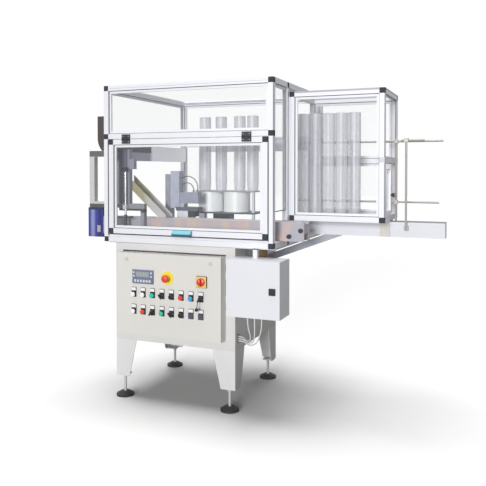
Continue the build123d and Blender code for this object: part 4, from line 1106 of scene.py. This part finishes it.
@dataclass
class Cables:
    """Three cables from the enclosure's glands to the entry on the cabinet's side, as in the solids."""

    diameter: float = 0.007
    gland_y: float = -0.0897
    gland_height: float = 0.552
    entry: Point = (0.731, 0.001, 0.408)
    bevel_steps: int = 4
    spline_steps: int = 10
    spline_order: int = 3
    samples: int = 101
    routes: tuple[Route, ...] = (
        Route(
            "cable_left", 0.822, 0.502,
            ((0.834, -0.079, 0.456), (0.826, -0.058, 0.420), (0.790, -0.030, 0.409)), 0.030, 0.012,
        ),
        Route(
            "cable_middle", 0.862, 0.499,
            ((0.858, -0.079, 0.448), (0.840, -0.056, 0.410), (0.798, -0.030, 0.397)), 0.034, 0.0,
        ),
        Route(
            "cable_right", 0.902, 0.496,
            ((0.882, -0.079, 0.441), (0.852, -0.054, 0.400), (0.804, -0.030, 0.385)), 0.038, -0.012,
        ),
    )

    def points(self, route: Route) -> list[Point]:
        """Control points of a cable's spline.

        Args:
            route: the cable's way.

        Returns:
            Seven points from the gland to the entry.
        """
        x, y, z = self.entry
        end = z + route.rise
        return [
            (route.gland_x, self.gland_y, self.gland_height),
            (route.gland_x, self.gland_y, route.drop),
            *route.bends,
            (x + route.lead, y, end),
            (x, y, end),
        ]

    def build(self) -> None:
        """Makes each cable as one open spline of order 3."""
        for route in self.routes:
            points = self.points(route)
            curve = bpy.data.curves.new(route.node + "_sheath", "CURVE")
            curve.dimensions = "3D"
            curve.bevel_depth = self.diameter / 2
            curve.bevel_resolution = self.bevel_steps
            curve.resolution_u = self.spline_steps
            curve.use_fill_caps = True
            spline = curve.splines.new("NURBS")
            spline.points.add(len(points) - 1)
            for point, place in zip(spline.points, points):
                point.co = (*place, 1.0)
            spline.order_u = self.spline_order
            spline.use_endpoint_u = True
            curve.materials.append(material_of(CABLE_SHEATH))
            cable = bpy.data.objects.new(route.node + "_sheath", curve)
            bpy.context.scene.collection.objects.link(cable)
            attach(cable, Body.MACHINE.value)
            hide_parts(route.node)


@dataclass
class GasketsAndShadeLines:
    """Dark rubber beads in the corner between each framing tube and its panel fins, which also paint the
    shade that the tubes cast on the fins.
    """

    tube: float = 0.030
    fin_face: float = 0.0045
    width: float = 0.0030
    thickness: float = 0.0012
    ease: float = 0.0002
    mid_height: float = 0.631
    annex_mid: float = 0.324
    post_setback: float = 0.237
    outfeed: float = 0.194

    def bead(self, axis: int, place: float, low: Pair, high: Pair) -> Solid:
        """Frames of four strips on both sides of a panel.

        Args:
            axis: 0 or 1, the way that the panel faces.
            place: middle of the panel along that way.
            low: lowest horizontal coordinate and height inside the tubes.
            high: highest ones.

        Returns:
            Eight strips in one shape.
        """
        (a0, z0), (a1, z1), wide = low, high, self.width
        strips = (
            ((a0, z0), (a1, z0 + wide)),
            ((a0, z1 - wide), (a1, z1)),
            ((a0, z0 + wide), (a0 + wide, z1 - wide)),
            ((a1 - wide, z0 + wide), (a1, z1 - wide)),
        )
        solids = []
        for side in (-1, 1):
            near = place + side * self.fin_face
            far = near + side * self.thickness
            first, last = min(near, far), max(near, far)
            for (s0, t0), (s1, t1) in strips:
                start, end = ((s0, first), (s1, last)) if axis == 1 else ((first, s0), (last, s1))
                solids.append(slab((*start, t0), (*end, t1), self.ease, axis))
        return merge(solids)

    def build(self) -> None:
        """Beads, which also paint shade lines, of the flap, the guard and the annex."""
        tube, half = self.tube, self.tube / 2
        f0, f1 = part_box("flap_connectors")
        flap = self.bead(1, f0[1] + half, (f0[0] + tube, f0[2] + tube), (f1[0] - tube, f1[2] - tube))
        place_piece("flap_gasket_and_shade", flap, SEAL_AND_SHADE, Body.FLAP, "connector_plastic")
        g0, g1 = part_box("guard_connectors")
        mid = g0[2] + self.mid_height
        post = g0[1] + self.post_setback
        a0, a1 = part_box("annex_connectors")
        middle = a0[2] + self.annex_mid
        beads = [
            self.bead(1, g0[1] + half, (g0[0] + tube, mid), (g1[0] - tube, g1[2] - tube)),
            self.bead(1, g1[1] - half, (g0[0] + tube, mid), (g1[0] - tube, g1[2] - tube)),
            self.bead(1, g1[1] - half, (g0[0] + tube, g0[2] + tube), (g1[0] - tube, mid - tube)),
            self.bead(0, g0[0] + half, (g0[1] + tube, mid), (g1[1] - tube, g1[2] - tube)),
            self.bead(0, g1[0] - half, (g0[1] + tube, g0[2] + self.outfeed), (post, g1[2] - tube)),
            self.bead(1, a0[1] + half, (a0[0] + tube, a0[2] + tube), (a1[0] - tube, a1[2] - tube)),
            self.bead(1, a1[1] - half, (a0[0] + tube, a0[2] + tube), (a1[0] - tube, middle)),
            self.bead(1, a1[1] - half, (a0[0] + tube, middle + tube), (a1[0] - tube, a1[2] - tube)),
        ]
        place_piece("panel_gaskets_and_shade", merge(beads), SEAL_AND_SHADE, Body.MACHINE, "connector_plastic")


@dataclass
class Seals:
    """Black lips that close the gaps round the flap, and a black lip over the control panel door that
    paints the shade of the gap there.
    """

    gap: float = 0.003
    lip: float = 0.007
    lap: float = 0.004
    thick: float = 0.0008
    ease: float = 0.0002
    bottom_inset: float = 0.001
    bottom_depth: Pair = (0.002, 0.007)
    top_depth: Pair = (0.001, 0.006)
    top_height: float = 0.0018
    touch: float = 0.0001
    skin: float = 0.00005
    side_drop: float = 0.012
    hinge_width: float = 0.056
    hinge_half: float = 0.031
    door_past: float = 0.002
    door_depth: Pair = (-0.004, 0.0002)
    door_gap: float = 0.001

    def bottom(self) -> None:
        """Lip under the flap, which swings with it."""
        (x0, y, z), (x1, _, _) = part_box("flap_connectors")
        inset, (near, far) = self.bottom_inset, self.bottom_depth
        lip = slab((x0 + inset, y + near, z - self.lip), (x1 - inset, y + far, z - self.touch))
        place_piece("flap_bottom_seal", lip, SEAL_AND_SHADE, Body.FLAP, "connector_plastic")

    def frame(self) -> None:
        """Lips of the guard over the flap, between its hinges, and down both sides."""
        (f0, face, base), (f1, _, top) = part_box("flap_connectors")
        h0, h1 = (corner[0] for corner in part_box("flap_hinge_lowers"))
        first, second = h0 + self.hinge_width / 2, h1 - self.hinge_width / 2
        edge, (near, far) = top + self.gap, self.top_depth
        spans = (
            (f0, first - self.hinge_half),
            (first + self.hinge_half, second - self.hinge_half),
            (second + self.hinge_half, f1),
        )
        lips = [
            slab((x0, face + near, edge - self.top_height), (x1, face + far, edge - self.touch), self.ease)
            for x0, x1 in spans
        ]
        front, back, foot = face - self.thick, face - self.skin, base - self.side_drop
        left, right = f0 - self.gap, f1 + self.gap
        lips.append(slab((left - self.lap, front, foot), (left, back, top), self.ease))
        lips.append(slab((right, front, foot), (right + self.lap, back, top), self.ease))
        place_piece("flap_frame_seal", merge(lips), SEAL_AND_SHADE, Body.MACHINE, "connector_plastic")

    def door(self) -> None:
        """Black lip of the cabinet over the control panel door, which paints the shade of the gap above the
        door.
        """
        (x0, _, _), (x1, y, top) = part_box("control_panel_door")
        past, (near, far), base = self.door_past, self.door_depth, top + self.door_gap
        lip = slab((x0 - past, y + near, base), (x1 + past, y + far, base + self.lip))
        place_piece("door_lip_shade", lip, SEAL_AND_SHADE, Body.MACHINE, "connector_plastic")

    def build(self) -> None:
        """Makes the lips."""
        self.bottom()
        self.frame()
        self.door()


@dataclass
class RearFrame:
    """Light inner frame on the guard's rear wall, behind the cup stacks."""

    left: float = 0.06
    right: float = 0.900
    front: float = 0.876
    back: float = 0.8925
    rail_low: float = 1.470
    rail_high: float = 1.521
    stile: float = 0.030
    low: float = 0.953
    ease: float = 0.002

    def build(self) -> None:
        """Makes a rail and two stiles."""
        solids = [
            slab((self.left, self.front, self.rail_low), (self.right, self.back, self.rail_high), self.ease)
        ]
        for x in (self.left, self.right - self.stile):
            solids.append(
                slab((x, self.front, self.low), (x + self.stile, self.back, self.rail_low), self.ease, 2)
            )
        place_piece("rear_inner_frame", merge(solids), FRAME_GREY, Body.MACHINE, "profile_aluminium")


@dataclass
class Trim:
    """Small things on the frame: hinge screws and the black edging of the annex opening."""

    leaf: float = 0.022
    leaf_width: float = 0.056
    leaf_face: float = 0.004
    pin_drop: float = 0.0045
    pin_radius: float = 0.005
    screw: Profile = ((0.0032, 0), (0.00256, 0.0012))
    screw_around: int = 16
    screw_offset: float = 0.018
    tube: float = 0.030
    mid_rise: float = 0.324
    edging: float = 0.003
    edging_shares: Pair = (0.30, 0.12)

    def screws(self) -> None:
        """Bright screw heads on the lower and upper leaves of the flap's hinges."""
        low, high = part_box("flap_hinge_lowers")
        pin, face = high[2] - self.pin_drop, high[1] - self.leaf_face
        middles = (low[0] + self.leaf_width / 2, high[0] - self.leaf_width / 2)
        for name, body, rise in (("low", Body.FLAP, -1), ("high", Body.MACHINE, 1)):
            height = pin + rise * (self.pin_radius + self.leaf / 2)
            heads = [
                lathe(self.screw, (middle + side, face, height), OUT, self.screw_around)
                for middle in middles
                for side in (-self.screw_offset, self.screw_offset)
            ]
            place_piece("hinge_screws_" + name, merge(heads), BRIGHT_STEEL, body, "black_metal")

    def edges(self) -> None:
        """Black edging round the upper opening in the annex's right end."""
        low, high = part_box("annex_tubes")
        tube, wide = self.tube, self.edging
        y0, y1 = low[1] + tube, high[1] - tube
        z0, z1 = low[2] + self.mid_rise + tube, high[2] - tube
        x0, x1 = (high[0] - tube * share for share in self.edging_shares)
        strips = (
            ((y0, z0), (y1, z0 + wide)),
            ((y0, z1 - wide), (y1, z1)),
            ((y1 - wide, z0 + wide), (y1, z1 - wide)),
            ((y0, z0 + wide), (y0 + wide, z1 - wide)),
        )
        solids = [slab((x0, *start), (x1, *end)) for start, end in strips]
        place_piece("opening_edging", merge(solids), BLACK_PLASTIC, Body.MACHINE, "connector_plastic")

    def build(self) -> None:
        """Makes all of it."""
        self.screws()
        self.edges()


@dataclass
class Studio:
    """Floor, light and camera."""

    camera_place: Point = (2.0964, -3.2783, 1.3425)
    yaw: float = 22.2
    pitch: float = 1.262
    lens: float = 47.74
    sensor: float = 36.0
    shift: float = -0.1211
    clip_end: float = 200.0
    floor_size: float = 60.0
    floor_shade: float = 0.35
    key: float = 0.73
    key_way: Point = (-0.06, 0.98, -0.14)
    key_spread: float = 20.0
    top: float = 0.86
    top_way: Point = (0.05, -0.08, -1.0)
    top_spread: float = 44.0
    ambient: float = 0.09
    ambient_color: Color = (1.0, 0.99, 0.98)
    background: float = 1.0

    def floor(self) -> None:
        """Large floor at height 0, white to the camera and grey to all other rays."""
        half = self.floor_size / 2
        mesh = bpy.data.meshes.new("studio_floor")
        places = [(-half, -half, 0), (half, -half, 0), (half, half, 0), (-half, half, 0)]
        mesh.from_pydata(places, [], [(0, 1, 2, 3)])
        shader = Shader(bpy.data.materials.new("floor_white"))
        seen = shader.node("ShaderNodeLightPath", {}, {}, "Is Camera Ray")
        white = shader.node("ShaderNodeBsdfDiffuse", {}, {"Color": (1.0, 1.0, 1.0)})
        grey = shader.node("ShaderNodeBsdfDiffuse", {}, {"Color": (self.floor_shade,) * 3})
        shader.end(shader.node("ShaderNodeMixShader", {}, {0: seen, 1: grey, 2: white}))
        mesh.materials.append(shader.owner)
        floor = bpy.data.objects.new("studio_floor", mesh)
        bpy.context.scene.collection.objects.link(floor)

    def sun(self, name: str, way: Point, spread: float, strength: float) -> None:
        """Distant soft lamp that shines along a direction.

        Args:
            name: the lamp's name.
            way: direction in which its light travels.
            spread: angle that the lamp covers, in degrees.
            strength: share of full white on a surface that faces it.
        """
        data = bpy.data.lights.new(name, "SUN")
        data.angle = math.radians(spread)
        data.energy = strength * math.pi
        made = bpy.data.objects.new(name, data)
        flat = math.hypot(way[0], way[1])
        turn = math.atan2(way[1], way[0]) - math.pi / 2
        made.rotation_euler = (math.atan2(flat, -way[2]), 0.0, turn)
        bpy.context.scene.collection.objects.link(made)

    def world(self) -> None:
        """Even light that camera, glossy and transmission rays see as white."""
        world = bpy.data.worlds.new("studio_world")
        bpy.context.scene.world = world
        shader = Shader(world, "ShaderNodeOutputWorld")
        camera, transmission, glossy = (
            shader.node("ShaderNodeLightPath", {}, {}, f"Is {ray} Ray")
            for ray in ("Camera", "Transmission", "Glossy")
        )
        bright = camera.or_larger(transmission).or_larger(glossy)
        dim, white = (
            shader.node("ShaderNodeBackground", {}, {"Color": color, "Strength": strength})
            for color, strength in ((self.ambient_color, self.ambient), ((1.0, 1.0, 1.0), self.background))
        )
        shader.end(shader.node("ShaderNodeMixShader", {}, {0: bright, 1: dim, 2: white}))

    def camera(self) -> None:
        """Camera at the photograph's viewing angle."""
        data = bpy.data.cameras.new("camera")
        data.lens = self.lens
        data.sensor_width = self.sensor
        data.sensor_fit = "HORIZONTAL"
        data.shift_y = self.shift
        data.clip_end = self.clip_end
        made = bpy.data.objects.new("camera", data)
        made.location = self.camera_place
        made.rotation_euler = (math.radians(90 - self.pitch), 0.0, math.radians(self.yaw))
        bpy.context.scene.collection.objects.link(made)
        bpy.context.scene.camera = made

    def build(self) -> None:
        """Sets up the whole studio."""
        bpy.context.scene.view_settings.view_transform = "Standard"
        self.floor()
        self.world()
        self.sun("key", self.key_way, self.key_spread, self.key)
        self.sun("top", self.top_way, self.top_spread, self.top)
        self.camera()


NODE_FINISHES: dict[str, AnyFinish] = {
    "annex_connectors": ANNEX_CONNECTOR, "annex_panels": CLEAR, "annex_tubes": ANNEX_ALUMINIUM,
    "beam_brackets": BRACKET_STEEL, "bottle_conveyor": LANE, "cabinet_body": PAINT,
    "cable_fittings": GREY_PLASTIC, "chute": CHUTE_STEEL, "control_panel_door": PANEL_PAINT,
    "conveyor_chain": CHAIN, "conveyor_knobs": BLACK_PLASTIC, "cross_beam": CROSS_BEAM,
    "deflector": DEFLECTOR_METAL, "dispenser_drums": DRUM_PLASTIC, "dispenser_frame": DISPENSER_STEEL,
    "enclosure_body": ENCLOSURE_PAINT, "enclosure_door": ENCLOSURE_PAINT, "enclosure_lock": BLACK_PLASTIC,
    "enclosure_post": POST_PAINT, "feed_column": COLUMN_STEEL, "feed_rod": BRIGHT_STEEL,
    "fixed_hinges": BLACK_METAL, "flap_connectors": CONNECTOR, "flap_handle": HANDLE_PLASTIC,
    "flap_hinge_lowers": BLACK_METAL, "flap_tubes": ALUMINIUM, "flap_window": CLEAR, "foot_pads": RUBBER,
    "foot_spindles": SPINDLE_STEEL, "guard_connectors": CONNECTOR, "guard_panels": CLEAR,
    "guard_tubes": GUARD_ALUMINIUM, "guide_rods": ROD_STEEL, "infeed_guide": BLUE_PLASTIC,
    "infeed_tunnel": TUNNEL_METAL, "leg_front_left": LEG_PAINT, "leg_front_right": LEG_PAINT,
    "leg_rear_left": LEG_PAINT, "leg_rear_right": LEG_PAINT, "magazine_beam": BEAM_ALUMINIUM,
    "magazine_belt": BELT, "overhang_bracket": BRACKET_PAINT, "panel_locks": LOCK_STEEL,
    "rod_stands": ROD_STEEL, "side_panel_frame": SIDE_ALUMINIUM, "side_panel_knob": BLACK_PLASTIC,
    "star_wheel": BLACK_PLASTIC, "support_brace": BRACE_PAINT, "table_plate": TABLE_METAL,
    "transfer_station": STATION_STEEL,
}


def main() -> None:
    """Dresses the frame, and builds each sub-assembly in order."""
    logging.basicConfig(level=logging.INFO, format="%(name)s: %(message)s")
    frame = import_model()
    for node, finish in NODE_FINISHES.items():
        dress(frame, node, finish)
    for assembly in (
        Buttons(), Display(), EmergencyStop(), MainSwitch(), CupStacks(), Cables(), GasketsAndShadeLines(), Seals(),
        RearFrame(), Trim(), Studio(),
    ):
        LOG.info("building %s", type(assembly).__name__)
        assembly.build()


if __name__ == "__main__":
    main()
